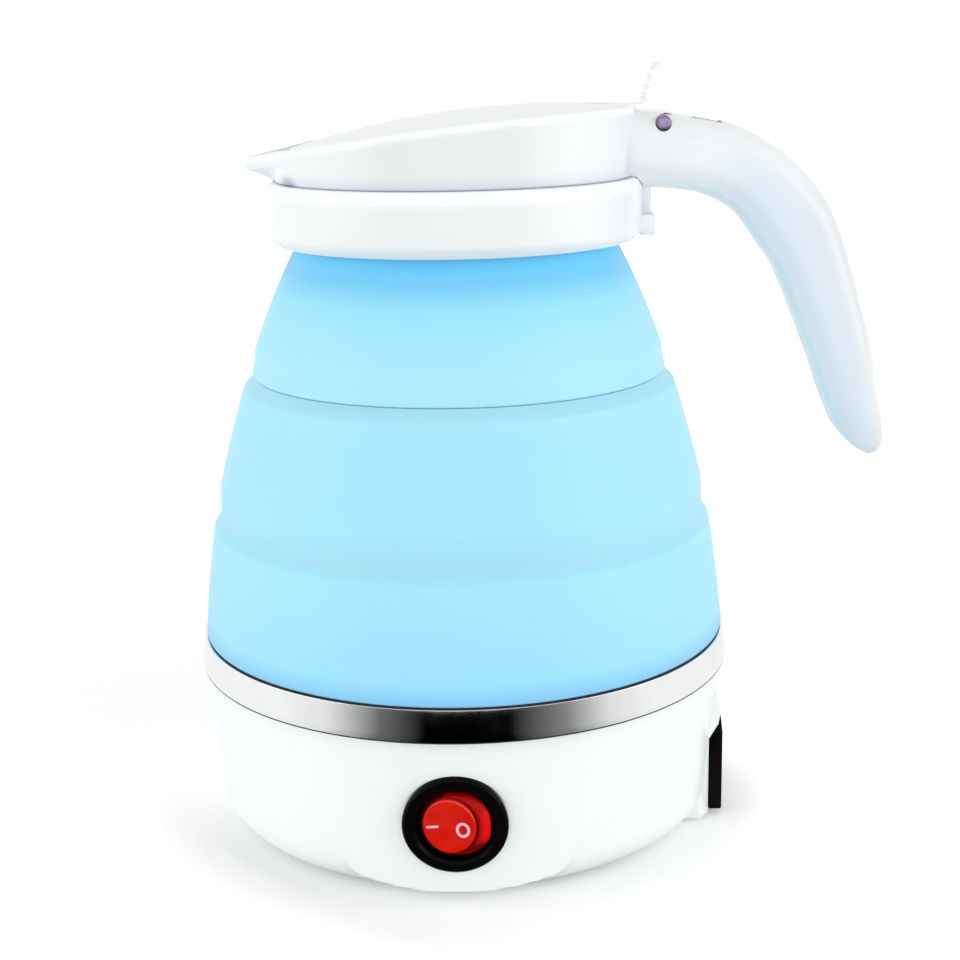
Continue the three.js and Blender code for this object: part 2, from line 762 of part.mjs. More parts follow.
const tailX = pinRearX - clearance;
const bladeRearY = bladeFrontY + bladeLength + clearance;
const lineZ = inletZ - pinLine;
const tubePinZ = pinTopZ - elementPinLength - clearance;
const [pinA, pinB] = elementEnds;
addWire('wire_live', [
  [tailX, -pinPitch / 2, lineZ],
  [tailX - inletBodyWidth / 4, -pinPitch / 2, lineZ],
  [bladePitch * 2, bladeRearY * 0.6, lineZ],
  [bladePitch, bladeRearY + bladeLength, switchZ],
  [bladePitch, bladeRearY, switchZ],
]);
addWire('wire_switched', [
  [-bladePitch, bladeRearY, switchZ],
  [-bladePitch, bladeRearY + bladeLength, switchZ],
  [pinB.x * 0.4, pinB.y * 1.1, switchZ + wireDip],
  [pinB.x, pinB.y, tubePinZ - wireDip],
  [pinB.x, pinB.y, tubePinZ],
]);
addWire('wire_neutral', [
  [tailX, pinPitch / 2, lineZ],
  [tailX - inletBodyWidth / 4, pinPitch / 2, lineZ],
  [pinA.x * 0.7, pinA.y, lineZ + wireDip],
  [pinA.x, pinA.y, tubePinZ - wireDip],
  [pinA.x, pinA.y, tubePinZ],
]);
const earthX = (thermostatFlangeRadius + tailX) / 2;
addWire('wire_earth', [
  [tailX, 0, inletZ + pinLine],
  [earthX + wireDip, 0, inletZ + pinLine],
  [earthX, 0, inletZ + pinLine + wireDip * 2],
  [earthX, 0, hangingZ - wireDip],
  [earthX, 0, hangingZ],
]);

// Silicone tiers: a slightly bulged wall between two radii
function wallPoints(lowR, topR, lowZ, topZ, bulge, inset, count) {
  const points = [];
  for (let i = 0; i <= count; i += 1) {
    const share = i / count;
    const swell = 4 * bulge * share * (1 - share);
    points.push([lowR + (topR - lowR) * share + swell - inset, lowZ + (topZ - lowZ) * share]);
  }
  return points;
}

const lowerOuter = wallPoints(lowerBottomRadius, lowerTopRadius, lowerZ, lowerTopZ, lowerBulge, 0, 4);
const lowerInner = wallPoints(lowerBottomRadius, lowerTopRadius, lowerZ, lowerTopZ, lowerBulge, siliconeWall, 2);
addPiece('tier_lower', solidOf(turned([
  [shelfBore, beadZ],
  [neckedRadius, beadZ],
  [neckedRadius, lowerZ],
  ...lowerOuter,
  ...lowerInner.slice(1).reverse(),
  [neckInner, lowerZ - clearance],
  [neckInner, beadZ + beadHeight],
  [shelfBore, beadZ + beadHeight],
])), 'silicone');
addPiece('tier_middle', solidOf(turned([
  ...wallPoints(middleBottomRadius, middleTopRadius, middleZ, middleTopZ, middleBulge, 0, 3),
  ...wallPoints(middleBottomRadius, middleTopRadius, middleZ, middleTopZ, middleBulge, siliconeWall, 2).reverse(),
])), 'silicone');
addPiece('tier_upper', solidOf(turned([
  ...wallPoints(upperBottomRadius, upperTopRadius, upperZ, upperTopZ, upperBulge, 0, 4),
  [upperTopRadius, neckBeadZ],
  [neckBeadRadius, neckBeadZ],
  [neckBeadRadius, neckBeadZ + neckBeadHeight],
  [upperTopRadius - siliconeWall, neckBeadZ + neckBeadHeight],
  ...wallPoints(upperBottomRadius, upperTopRadius, upperZ, upperTopZ, upperBulge, siliconeWall, 2).reverse(),
])), 'silicone');

// Folds between the tiers, each with a rounded shoulder, a groove and a rounded foot
function foldProfile(lowR, topR, lowZ, topZ) {
  const line = (shares, inset) => shares.map(([up, inward]) => [
    lowR + (topR - lowR) * inward - inset,
    lowZ + (topZ - lowZ) * up,
  ]);
  return [...line(foldOuterShares, 0), ...line(foldInnerShares, foldWall).reverse()];
}

addPiece('fold_lower', solidOf(turned(foldProfile(lowerTopRadius - clearance, middleBottomRadius,
  lowerTopZ + clearance, middleZ - clearance))), 'silicone');
addPiece('fold_upper', solidOf(turned(foldProfile(middleTopRadius - clearance, upperBottomRadius,
  middleTopZ + clearance, upperZ - clearance))), 'silicone');

// Collar with the keeper block
const lipBore = upperTopRadius + clearance;
const keeperLowZ = collarZ + keeperRise;
const keeperTopZ = keeperLowZ + keeperHeight;
const tongueInnerX = collarRadius + clearance;
const tongueOuterX = tongueInnerX + tongueThickness;
const keeperBlock = block([collarRadius - collarWall / 2, keeperReach], [-keeperWidth / 2, keeperWidth / 2],
  [keeperLowZ, keeperTopZ]);
const keeperSlot = block([tongueInnerX - clearance, tongueOuterX + clearance],
  [-tongueWidth / 2 - clearance, tongueWidth / 2 + clearance], [keeperLowZ - overrun, keeperTopZ + overrun]);
addPiece('collar', solidOf(turned([
  [lipBore, collarZ],
  [collarRadius - collarLowEdge, collarZ],
  [collarRadius - collarLowEdge / 4, collarZ + collarLowEdge / 3],
  [collarRadius, collarZ + collarLowEdge],
  [collarRadius, collarTopZ - collarTopEdge],
  [collarRadius - collarTopEdge / 4, collarTopZ - collarTopEdge / 3],
  [collarRadius - collarTopEdge / 1.4, collarTopZ],
  [collarBore, collarTopZ],
  [collarBore, lipTopZ],
  [lipBore, lipTopZ],
])).add(solidOf(keeperBlock)).subtract(solidOf(keeperSlot)), 'white');

// The rim falls from the handle to the spout: every point above the split level sinks with it
function rimSink(x) {
  const share = Math.max(0, (housingRadius - x) / (housingRadius + spoutReach));
  return rimDrop * share ** rimSweepPower;
}

function sunkToRim(geometry, splitZ) {
  const place = geometry.attributes.position;
  for (let i = 0; i < place.count; i += 1) {
    if (place.getZ(i) > splitZ) {
      place.setZ(i, place.getZ(i) - rimSink(place.getX(i)));
    }
  }
  return geometry;
}

// Top housing
const splitZ = housingZ + clearance;
let housing = solidOf(sunkToRim(turned([
  [mouthRadius, skirtZ],
  [skirtRadius, skirtZ],
  [skirtRadius, housingZ],
  [housingRadius, housingZ],
  [rimRadius, rimZ - rimEdge],
  [rimRadius - rimEdge / 3, rimZ - rimEdge / 3],
  [rimRadius - rimEdge, rimZ],
  [seatRadius, rimZ],
  [seatRadius, rimZ - seatDepth],
  [mouthRadius, rimZ - seatDepth],
  [mouthRadius, rimZ - seatDepth - seatThickness],
  [housingBore, rimZ - seatDepth - seatThickness - seatWidth / 2],
  [housingBore, skirtZ + housingWall],
  [mouthRadius, skirtZ + housingWall / 2],
]), splitZ));

// Half outlines of the beak, as [reach, half width], mirrored into a closed ring
function beakRing(root, reach, halfWidth, tipHalf, bend, bendWidth, z) {
  const length = reach - root;
  const half = [
    [root, halfWidth],
    [root + length * bend, halfWidth * bendWidth],
    [reach, tipHalf],
  ];
  const near = half.map(([x, y]) => new THREE.Vector3(-x, -y, z));
  const far = half.map(([x, y]) => new THREE.Vector3(-x, y, z)).reverse();
  return [...near, ...far];
}

function beak(inset, rootOffset, floorZ, topZ) {
  const tipHalf = Math.max(spoutTipHalfWidth - inset, spoutTipHalfWidth / 2);
  const top = (z, slope) => beakRing(rootOffset, spoutReach - slope - inset * 1.4, spoutHalfWidth - inset,
    tipHalf, spoutBendShare, spoutBendWidthShare, z);
  const keel = beakRing(rootOffset, spoutKeelReach - inset, spoutKeelHalfWidth - inset,
    spoutTipHalfWidth / 2, keelBendShare, keelBendWidthShare, floorZ);
  return loft([keel, top(rimZ - spoutLip + inset / 2, spoutLipSlope), top(topZ, 0)]);
}

const beakSolid = solidOf(sunkToRim(beak(0, spoutRootOffset, housingZ, rimZ), splitZ));
const channelFloorZ = housingZ + spoutFloor;
const channel = sunkToRim(beak(spoutWall, spoutRootOffset - overrun * 2, channelFloorZ, rimZ + overrun * 2),
  channelFloorZ + clearance);
const mouth = disc(mouthRadius, housingZ, rimZ + overrun, roundSteps);
const seatSpace = sunkToRim(turned([
  [0, rimZ - seatDepth],
  [seatRadius * 0.5, rimZ - seatDepth],
  [seatRadius, rimZ - seatDepth],
  [seatRadius, rimZ + overrun],
  [0, rimZ + overrun],
]), splitZ);
const notch = block([leverRoot, hingeReach], [-slotWidth / 2, slotWidth / 2],
  [hingeZ - hingeBoss - clearance, rimZ + overrun]);
const screwZ = housingZ + handleScrewHeight;
housing = housing
  .add(beakSolid.subtract(solidOf(mouth)).subtract(solidOf(seatSpace)))
  .subtract(solidOf(channel))
  .subtract(solidOf(notch));

// A disc whose axis runs along X, at the handle screws
function rearDisc(radius, lowX, highX, y) {
  const geometry = disc(radius, 0, highX - lowX, smallSteps);
  geometry.rotateY(Math.PI / 2);
  geometry.translate(lowX, y, screwZ);
  return geometry;
}

const screwPlaces = [-handleScrewPitch / 2, handleScrewPitch / 2];
for (const y of screwPlaces) {
  housing = housing
    .subtract(solidOf(rearDisc(screwHeadRadius + clearance, mouthRadius - overrun, housingBore, y)))
    .subtract(solidOf(rearDisc(screwShankRadius + clearance, mouthRadius, rimRadius + overrun, y)));
}
addPiece('top_housing', housing, 'white');

// Handle lines in the plane y = 0
const handleTopZ = rimZ - handleTopDrop;
function handleLine(shares) {
  return new THREE.CatmullRomCurve3(shares.map(([along, down]) => new THREE.Vector3(
    handleRoot + handleReach * along, 0, handleTopZ - handleDrop * down)));
}
const outerLine = handleLine(outerLineShares);
const innerLine = handleLine(innerLineShares);

function handleStation(t) {
  const outer = outerLine.getPoint(t);
  const inner = innerLine.getPoint(t);
  const centre = outer.clone().add(inner).multiplyScalar(1 / 2);
  const across = outer.clone().sub(inner);
  const slot = t * (handleWidthShares.length - 1);
  const low = Math.min(Math.floor(slot), handleWidthShares.length - 2);
  const share = THREE.MathUtils.lerp(handleWidthShares[low], handleWidthShares[low + 1], slot - low);
  return {
    centre,
    half: across.length() / 2,
    normal: across.normalize(),
    width: handleHalfWidth * share,
  };
}

function sectionPoint(station, out, side) {
  return station.centre.clone().addScaledVector(station.normal, out).add(new THREE.Vector3(0, side, 0));
}

function roundedSection(station) {
  const ring = [];
  const bend = (value) => Math.sign(value) * Math.abs(value) ** (2 / handleRoundness);
  for (let j = 0; j < handleSections; j += 1) {
    const angle = (j / handleSections) * 2 * Math.PI;
    ring.push(sectionPoint(station, station.half * bend(Math.cos(angle)), station.width * bend(Math.sin(angle))));
  }
  return ring;
}

function sweep(shares, steps, section) {
  const rings = [];
  for (let i = 0; i <= steps; i += 1) {
    const t = shares[0] + (shares[1] - shares[0]) * (i / steps);
    rings.push(section(handleStation(t)));
  }
  return loft(rings);
}

function boxSection(station, low, high, side) {
  return [[low, -side], [high, -side], [high, side], [low, side]].map(([out, y]) => sectionPoint(station, out, y));
}

const handleBar = solidOf(sweep([0, 1], handleSteps, roundedSection));
const hollow = sweep(hollowShares, handleSteps / 2, (s) => boxSection(s, -s.half - overrun,
  s.half - handleWall, s.width - handleWall));
const strip = sweep(coverShares, handleSteps / 2, (s) => boxSection(s, -s.half - overrun,
  -s.half + handleWall, s.width - handleWall - clearance));
const housingSpace = solidOf(disc(rimRadius + clearance, collarZ, rimZ + rimHeight, 2 * roundSteps));
const collarSpace = solidOf(disc(collarRadius + clearance, collarZ, collarTopZ + clearance, 2 * roundSteps));
const leverSlot = block([housingRadius - overrun, hingeReach + slotReach], [-slotWidth / 2, slotWidth / 2],
  [rimZ - slotDepth, rimZ + rimHeight]);

// A disc whose axis runs along Y, through the hinge pin's centre
function hingeDisc(radius, lowY, highY, steps = smallSteps) {
  const geometry = disc(radius, 0, highY - lowY, steps);
  geometry.rotateX(-Math.PI / 2);
  geometry.translate(hingeReach, lowY, hingeZ);
  return geometry;
}

const tongue = block([tongueInnerX, tongueOuterX], [-tongueWidth / 2, tongueWidth / 2],
  [keeperTopZ - tongueLength / 3, keeperTopZ + tongueLength]);
let handle = handleBar
  .subtract(housingSpace)
  .subtract(collarSpace)
  .subtract(solidOf(leverSlot))
  .subtract(solidOf(hollow))
  .subtract(solidOf(hingeDisc(hingePinRadius + clearance, -handleHalfWidth - overrun, handleHalfWidth + overrun)))
  .subtract(solidOf(hingeDisc(hingePinRecess, hingePinLength / 2 - clearance, handleHalfWidth + overrun)))
  .subtract(solidOf(hingeDisc(hingePinRecess, -handleHalfWidth - overrun, -hingePinLength / 2 + clearance)))
  .add(solidOf(tongue));
const handleScrewHeadX = housingBore - clearance - screwHeadHeight;
screwPlaces.forEach((y, i) => {
  const endX = rimRadius + screwShankLength;
  handle = handle.subtract(solidOf(rearDisc(screwShankRadius + clearance, rimRadius - overrun, endX, y)));
  const head = rearDisc(screwHeadRadius, handleScrewHeadX, handleScrewHeadX + screwHeadHeight, y);
  const shank = rearDisc(screwShankRadius, handleScrewHeadX + screwHeadHeight / 2, endX - overrun, y);
  addPiece(`handle_screw_${i + 1}`, solidOf(head).add(solidOf(shank)), 'steel');
});
addPiece('handle_shell', handle, 'white');
addPiece('handle_cover', handleBar.intersect(solidOf(strip)), 'white');
addPiece('hinge_pin', solidOf(hingeDisc(hingePinRadius, -hingePinLength / 2, hingePinLength / 2)), 'steel');

// Lid with its lever and thumb tab
const lidRadius = seatRadius - clearance;
const lidTopZ = rimZ - lidFlush;
const lidUnderZ = rimZ - seatDepth + clearance;
const crownShares = [[0, 1], [0.4, 0.84], [0.72, 0.48], [0.93, 0.12]];
const lidPlate = sunkToRim(turned([
  ...crownShares.map(([out, up]) => [lidRadius * out, lidTopZ + lidCrown * up]),
  [lidRadius, lidTopZ],
  [lidRadius - lidDraft, lidUnderZ],
  [lidRadius * 0.66, lidUnderZ],
  [lidRadius * 0.33, lidUnderZ],
  [0, lidUnderZ],
]), splitZ);
const lever = sideProfile([
  [leverRoot, lidUnderZ + clearance],
  [hingeReach - hingeBoss, hingeZ - leverThickness / 2],
  [hingeReach - hingeBoss * 0.6, hingeZ - hingeBoss * 0.8],
  [hingeReach, hingeZ - hingeBoss],
  [hingeReach + hingeBoss * 0.7, hingeZ - hingeBoss * 0.7],
  [hingeReach + hingeBoss, hingeZ],
  ...tabBackShares.map(([out, up]) => [hingeReach + tabBack * out, hingeZ + tabHeight * up]).reverse(),
  ...tabFrontShares.map(([out, up]) => [hingeReach - tabFront * out, hingeZ + tabHeight * up]).reverse(),
  [leverRoot, lidTopZ + lidFlush],
], leverWidth);
const lidBore = hingeDisc(hingePinRadius + clearance, -handleHalfWidth, handleHalfWidth);
addPiece('lid', solidOf(lidPlate).add(solidOf(lever)).subtract(solidOf(lidBore)), 'white');

export default kettle;
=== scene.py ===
import bpy
import bmesh
from collections import namedtuple
from math import acos, atan2, copysign, cos, exp, hypot, pi, radians, sin, tan
from mathutils import Matrix, Vector


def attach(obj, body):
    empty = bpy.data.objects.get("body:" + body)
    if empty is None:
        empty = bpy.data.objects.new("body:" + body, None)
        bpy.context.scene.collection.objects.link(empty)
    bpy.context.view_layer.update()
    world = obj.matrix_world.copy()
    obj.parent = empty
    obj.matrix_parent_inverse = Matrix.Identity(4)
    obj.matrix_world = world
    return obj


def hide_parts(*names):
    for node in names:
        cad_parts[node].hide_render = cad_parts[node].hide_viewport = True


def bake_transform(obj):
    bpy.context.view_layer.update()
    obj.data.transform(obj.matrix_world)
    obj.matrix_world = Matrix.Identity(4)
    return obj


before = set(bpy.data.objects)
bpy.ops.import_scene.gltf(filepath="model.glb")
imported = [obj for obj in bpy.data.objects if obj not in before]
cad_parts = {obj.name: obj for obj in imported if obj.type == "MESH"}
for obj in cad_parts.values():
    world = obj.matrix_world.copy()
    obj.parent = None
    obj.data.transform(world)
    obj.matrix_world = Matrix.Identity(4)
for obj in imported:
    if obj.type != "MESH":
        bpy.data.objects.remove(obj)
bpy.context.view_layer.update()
MM = 0.001
collection = bpy.context.scene.collection


def placed(name, data):
    made = bpy.data.objects.new(name, data)
    collection.objects.link(made)
    return made


# Camera at the photograph's viewing angle, its place in millimetres

CAMERA_PLACE = (18.6, -395.3, 180.9)
YAW, PITCH, ROLL = (radians(a) for a in (-2.04, 14.29, -1.08))
PHOTO_WIDTH_PX, FOCAL_PX, SENSOR_MM, NEAR_CLIP_M = 960, 1700, 36, 0.01


def add_camera():
    forward = Vector((sin(YAW) * cos(PITCH), cos(YAW) * cos(PITCH), -sin(PITCH)))
    right = Vector((cos(YAW), -sin(YAW), 0))
    up = right.cross(forward)
    side = cos(ROLL) * right + sin(ROLL) * up
    top = -sin(ROLL) * right + cos(ROLL) * up
    lens = bpy.data.cameras.new("camera")
    lens.sensor_fit = "HORIZONTAL"
    lens.sensor_width = SENSOR_MM
    lens.lens = SENSOR_MM * FOCAL_PX / PHOTO_WIDTH_PX
    lens.clip_start = NEAR_CLIP_M
    camera = placed("camera", lens)
    turn = Matrix((side, top, -forward)).transposed().to_4x4()
    camera.matrix_world = Matrix.Translation(Vector(CAMERA_PLACE) * MM) @ turn
    bpy.context.scene.camera = camera


add_camera()

# Mesh helpers, in millimetres

STRAIGHT = radians(179)
CORNER_SHARE = 0.49
BEVEL_ANGLE = radians(50)
BEVEL_SEGMENTS = 3


def piece(name, points, faces, sharp=35):
    data = bpy.data.meshes.new(name)
    data.from_pydata([(x * MM, y * MM, z * MM) for x, y, z in points], [], faces)
    data.validate()
    return smooth(placed(name, data), sharp)


def smooth(made, sharp=35):
    bm = bmesh.new()
    bm.from_mesh(made.data)
    bmesh.ops.recalc_face_normals(bm, faces=bm.faces)
    bm.to_mesh(made.data)
    bm.free()
    made.data.polygons.foreach_set("use_smooth", [True] * len(made.data.polygons))
    made.data.set_sharp_from_angle(angle=radians(sharp))
    return made


def around(count):
    """Cosine and sine of evenly spaced angles round a circle."""
    angles = [2 * pi * j / count for j in range(count)]
    return [(cos(angle), sin(angle)) for angle in angles]


def circle(radius, z, count):
    return [(radius * c, radius * s, z) for c, s in around(count)]


def super_ellipse(half_a, half_b, roundness, count):
    """An oval: 2 gives an ellipse, and more makes it squarer."""
    power = 2 / roundness
    return [(half_a * copysign(abs(c) ** power, c), half_b * copysign(abs(s) ** power, s))
            for c, s in around(count)]


def rounded(points, steps=5, closed=True):
    """Corners given as (x, z, radius) turned into arcs."""
    line = []
    count = len(points)
    for i, corner in enumerate(points):
        here = Vector(corner[:2])
        back = Vector(points[i - 1][:2]) - here
        on = Vector(points[(i + 1) % count][:2]) - here
        radius = corner[2] if len(corner) > 2 else 0
        at_end = not closed and i in (0, count - 1)
        if radius <= 0 or at_end or back.angle(on) > STRAIGHT:
            line.append(tuple(here))
            continue
        angle = back.angle(on)
        reach = min(radius / tan(angle / 2), back.length * CORNER_SHARE, on.length * CORNER_SHARE)
        radius = reach * tan(angle / 2)
        back.normalize()
        on.normalize()
        centre = here + (back + on).normalized() * (radius / sin(angle / 2))
        first = here + back * reach - centre
        last = here + on * reach - centre
        sweep = pi - angle
        for k in range(steps + 1):
            share = k / steps
            spoke = (first * sin((1 - share) * sweep) + last * sin(share * sweep)) / sin(sweep)
            line.append(tuple(centre + spoke))
    return line


def spline(points, steps=6):
    """A smooth curve through all points."""
    line = []
    for i in range(len(points) - 1):
        a = Vector(points[max(i - 1, 0)])
        b, c = Vector(points[i]), Vector(points[i + 1])
        d = Vector(points[min(i + 2, len(points) - 1)])
        for k in range(steps):
            t = k / steps
            square = (2 * a - 5 * b + 4 * c - d) * t * t
            line.append(tuple(0.5 * ((2 * b) + (c - a) * t + square + (3 * b - a - 3 * c + d) * t ** 3)))
    line.append(tuple(points[-1]))
    return line


def even(values, share):
    """A value at a share of the way through a list."""
    spot = share * (len(values) - 1)
    low = min(int(spot), len(values) - 2)
    return values[low] + (values[low + 1] - values[low]) * (spot - low)


def grid(rings, closed=True):
    """Faces between rings; a closed grid also joins the last ring to the first."""
    count = len(rings[0])
    points = [p for ring in rings for p in ring]
    faces = []
    for i in range(len(rings) if closed else len(rings) - 1):
        a, b = i * count, ((i + 1) % len(rings)) * count
        for j in range(count):
            k = (j + 1) % count
            faces.append((a + j, a + k, b + k, b + j))
    return points, faces


def turned(name, profile, steps=192, bend=None, sharp=35):
    """A closed profile of (radius, z) turned about Z; points on the axis close it."""
    on_axis = profile[0][0] < 1e-6 and profile[-1][0] < 1e-6
    body = profile[1:-1] if on_axis else profile
    points, faces = grid([circle(r, z, steps) for r, z in body], closed=not on_axis)
    if on_axis:
        points += [(0, 0, profile[0][1]), (0, 0, profile[-1][1])]
        low, high, last = len(points) - 2, len(points) - 1, (len(body) - 1) * steps
        for j in range(steps):
            k = (j + 1) % steps
            faces += [(low, k, j), (high, last + j, last + k)]
    if bend:
        points = [bend(*p) for p in points]
    return piece(name, points, faces, sharp)


def lofted(name, rings, sharp=35):
    points, faces = grid(rings, closed=False)
    count = len(rings[0])
    last = (len(rings) - 1) * count
    faces += [tuple(range(count)), tuple(range(last, last + count))]
    return piece(name, points, faces, sharp)


def along_axis(axis, at, level=0):
    """A point at a level along one axis, and at a place on the other two, in the axes' order."""
    n = "XYZ".index(axis)
    return (*at[:n], level, *at[n:])


def drawn(name, outline, low, high, bevel=0, axis="Y", sharp=35):
    """An outline drawn out along one axis, with rounded edges."""
    rings = [[along_axis(axis, point, level) for point in outline] for level in (low, high)]
    made = lofted(name, rings, sharp)
    if bevel:
        edit = made.modifiers.new("bevel", "BEVEL")
        edit.width, edit.segments = bevel * MM, BEVEL_SEGMENTS
        edit.limit_method, edit.angle_limit = "ANGLE", BEVEL_ANGLE
        smooth(applied(made), sharp)
    return made


def applied(made):
    graph = bpy.context.evaluated_depsgraph_get()
    data = bpy.data.meshes.new_from_object(made.evaluated_get(graph))
    made.modifiers.clear()
    made.data = data
    return made


def cut(made, *tools, mode="DIFFERENCE", sharp=35):
    for tool in tools:
        edit = made.modifiers.new("cut", "BOOLEAN")
        edit.operation, edit.object, edit.solver = mode, tool, "EXACT"
        applied(made)
        bpy.data.objects.remove(tool)
    return smooth(made, sharp)


def joined(name, *parts):
    """Several closed meshes kept as one object."""
    bm = bmesh.new()
    for part in parts:
        bm.from_mesh(part.data)
    data = bpy.data.meshes.new(name)
    bm.to_mesh(data)
    bm.free()
    for part in parts:
        bpy.data.objects.remove(part)
    return smooth(placed(name, data))


def both(half, middle=0):
    return middle - half, middle + half


def box(x, y, z, bevel=0):
    outline = [(x[0], y[0]), (x[1], y[0]), (x[1], y[1]), (x[0], y[1])]
    return drawn("box", outline, z[0], z[1], bevel, axis="Z")


def rod(radius, low, high, axis, at=(0, 0), steps=64, edge=0):
    """A round bar along one axis, at a place on the other two."""
    profile = rounded([(0, low), (radius, low, edge), (radius, high, edge), (0, high)], closed=False)
    made = turned("rod", profile, steps)
    turns = {"X": ((0, 0, 1), (1, 0, 0), (0, 1, 0)), "Y": ((0, 1, 0), (0, 0, 1), (1, 0, 0)),
             "Z": ((1, 0, 0), (0, 1, 0), (0, 0, 1))}
    made.data.transform(Matrix.Translation(Vector(along_axis(axis, at)) * MM) @ Matrix(turns[axis]).to_4x4())
    return smooth(made)


def step(value):
    """An eased step from 0 to 1."""
    value = min(1, max(0, value))
    return value * value * (3 - 2 * value)


# Shader helpers

def fed(made, inputs):
    """Fills a node's inputs with plain values or with other nodes' outputs."""
    for name, value in inputs.items():
        if isinstance(value, bpy.types.NodeSocket):
            made.id_data.links.new(value, made.inputs[name])
        else:
            made.inputs[name].default_value = value
    return made


def node(tree, kind, inputs=None, **settings):
    made = tree.nodes.new("ShaderNode" + kind)
    for name, value in settings.items():
        setattr(made, name, value)
    return fed(made, inputs or {}).outputs


def maths(tree, operation, *values):
    return node(tree, "Math", dict(enumerate(values)), operation=operation)["Value"]


def product(tree, first, *others):
    for value in others:
        first = maths(tree, "MULTIPLY", first, value)
    return first


def multiplied(tree, share, colour, tint):
    inputs = {"Factor": share, "A": colour, "B": tint}
    return node(tree, "Mix", inputs, data_type="RGBA", blend_type="MULTIPLY")["Result"]


def noise(tree, scale, detail, stretch=(1, 1, 1)):
    place = node(tree, "TexCoord")["Object"]
    place = node(tree, "Mapping", {"Vector": place, "Scale": stretch})["Vector"]
    return node(tree, "TexNoise", {"Vector": place, "Scale": scale, "Detail": detail})["Fac"]


def ramp(tree, source, low, high, start=0.3, stop=0.7):
    inputs = {"Value": source, "From Min": start, "From Max": stop, "To Min": low, "To Max": high}
    return node(tree, "MapRange", inputs)["Result"]


def coloured(tree, source, stops):
    """A colour for each value of the source, from stops of (value, colour)."""
    made = tree.nodes.new("ShaderNodeValToRGB")
    line = made.color_ramp
    while len(line.elements) < len(stops):
        line.elements.new(0.5)
    for element, (at, colour) in zip(line.elements, stops):
        element.position, element.color = at, (*colour, 1)
    return fed(made, {"Fac": source}).outputs["Color"]


def tinted(tree, source, low, high):
    return coloured(tree, source, [(0.3, low), (0.7, high)])


def bump(tree, height, strength, distance):
    return node(tree, "Bump", {"Height": height, "Strength": strength, "Distance": distance})["Normal"]


def material(name):
    made = bpy.data.materials.new(name)
    made.use_nodes = True
    return made, made.node_tree, made.node_tree.nodes["Principled BSDF"]


def washed(made, tints):
    """Multiplies a colour by tints of painted shade and painted light, each as strong as a share stored on
    the mesh.
    """
    tree = made.node_tree
    shader = tree.nodes["Principled BSDF"]
    colour = shader.inputs["Base Color"].links[0].from_socket
    for name, tint in tints.items():
        share = node(tree, "Attribute", attribute_name=name)["Fac"]
        colour = multiplied(tree, share, colour, (*tint, 1))
    fed(shader, {"Base Color": colour})
    return made


def shares(made, **rules):
    """Stores on each point of a mesh the shares that rules of its place give."""
    for name, rule in rules.items():
        layer = made.data.attributes.new(name, "FLOAT", "POINT")
        layer.data.foreach_set("value", [rule(*(v.co / MM)) for v in made.data.vertices])
    return made


# Materials

def plastic(name, low, high, rough=(0.29, 0.36), grain=0.05, coat=0.0, cloud=60, detail=4, fine=2600,
            relief=0.00005, index=1.5, veil=0.08):
    """Moulded plastic, slightly clouded and finely grained; veil is its coat's roughness."""
    made, tree, shader = material(name)
    clouds = noise(tree, cloud, detail)
    fed(shader, {
        "Base Color": tinted(tree, clouds, low, high),
        "Roughness": ramp(tree, clouds, *rough),
        "Normal": bump(tree, noise(tree, fine, 2), grain, relief),
        "IOR": index,
        "Coat Weight": coat,
        "Coat Roughness": veil,
    })
    return made


def metal(name, low, high, rough, scale, grain, stretch=(1, 1, 1)):
    """Metal with fine marks, which a stretch draws out along an axis."""
    made, tree, shader = material(name)
    marks = noise(tree, scale, 4, stretch)
    fed(shader, {
        "Base Color": tinted(tree, marks, low, high),
        "Roughness": ramp(tree, marks, *rough),
        "Normal": bump(tree, marks, grain, 0.00004),
        "Metallic": 1,
    })
    return made


def red_plastic(name, low, high, rough=(0.14, 0.22), coat=0.4, index=1.5):
    """Clear red plastic with a lighter glow where it is thick."""
    made = plastic(name, low, high, rough, grain=0.03, coat=coat, cloud=260, detail=3, fine=2400,
                   relief=0.00004, index=index, veil=0.03)
    glow = {"Subsurface Weight": 0.5, "Subsurface Radius": (1.0, 0.12, 0.05), "Subsurface Scale": 0.003}
    fed(made.node_tree.nodes["Principled BSDF"], glow)
    return made


def silicone_rubber():
    """Translucent satin silicone, deeper blue at the neck, where it lies doubled, and towards the foot; a
    lighter band above the upper fold's crease is painted light that lifts its shade.
    """
    made, tree, shader = material("silicone")
    height = node(tree, "Attribute", attribute_name="rest_height")["Fac"]
    colour = coloured(tree, height, [
        (0.33, (0.235, 0.60, 0.98)), (0.36, (0.34, 0.745, 1.0)), (0.46, (0.36, 0.775, 1.0)),
        (0.70, (0.37, 0.775, 0.985)), (0.77, (0.40, 0.79, 0.99)), (0.85, (0.37, 0.785, 0.985)),
        (0.89, (0.31, 0.75, 0.98)), (0.925, (0.18, 0.60, 0.92)), (0.955, (0.15, 0.62, 1.0))])
    clouds = noise(tree, 35, 4)
    fed(shader, {
        "Base Color": multiplied(tree, 1, colour, tinted(tree, clouds, (0.98, 0.99, 0.995), (1, 1, 1))),
        "Roughness": ramp(tree, clouds, 0.42, 0.52),
        "Normal": bump(tree, noise(tree, 1900, 2), 0.12, 0.00005),
        "Subsurface Weight": 0.35,
        "Subsurface Radius": (0.5, 0.9, 1.0),
        "Subsurface Scale": 0.004,
        "Sheen Weight": 0.1,
        "Specular IOR Level": 0.35,
    })
    return made
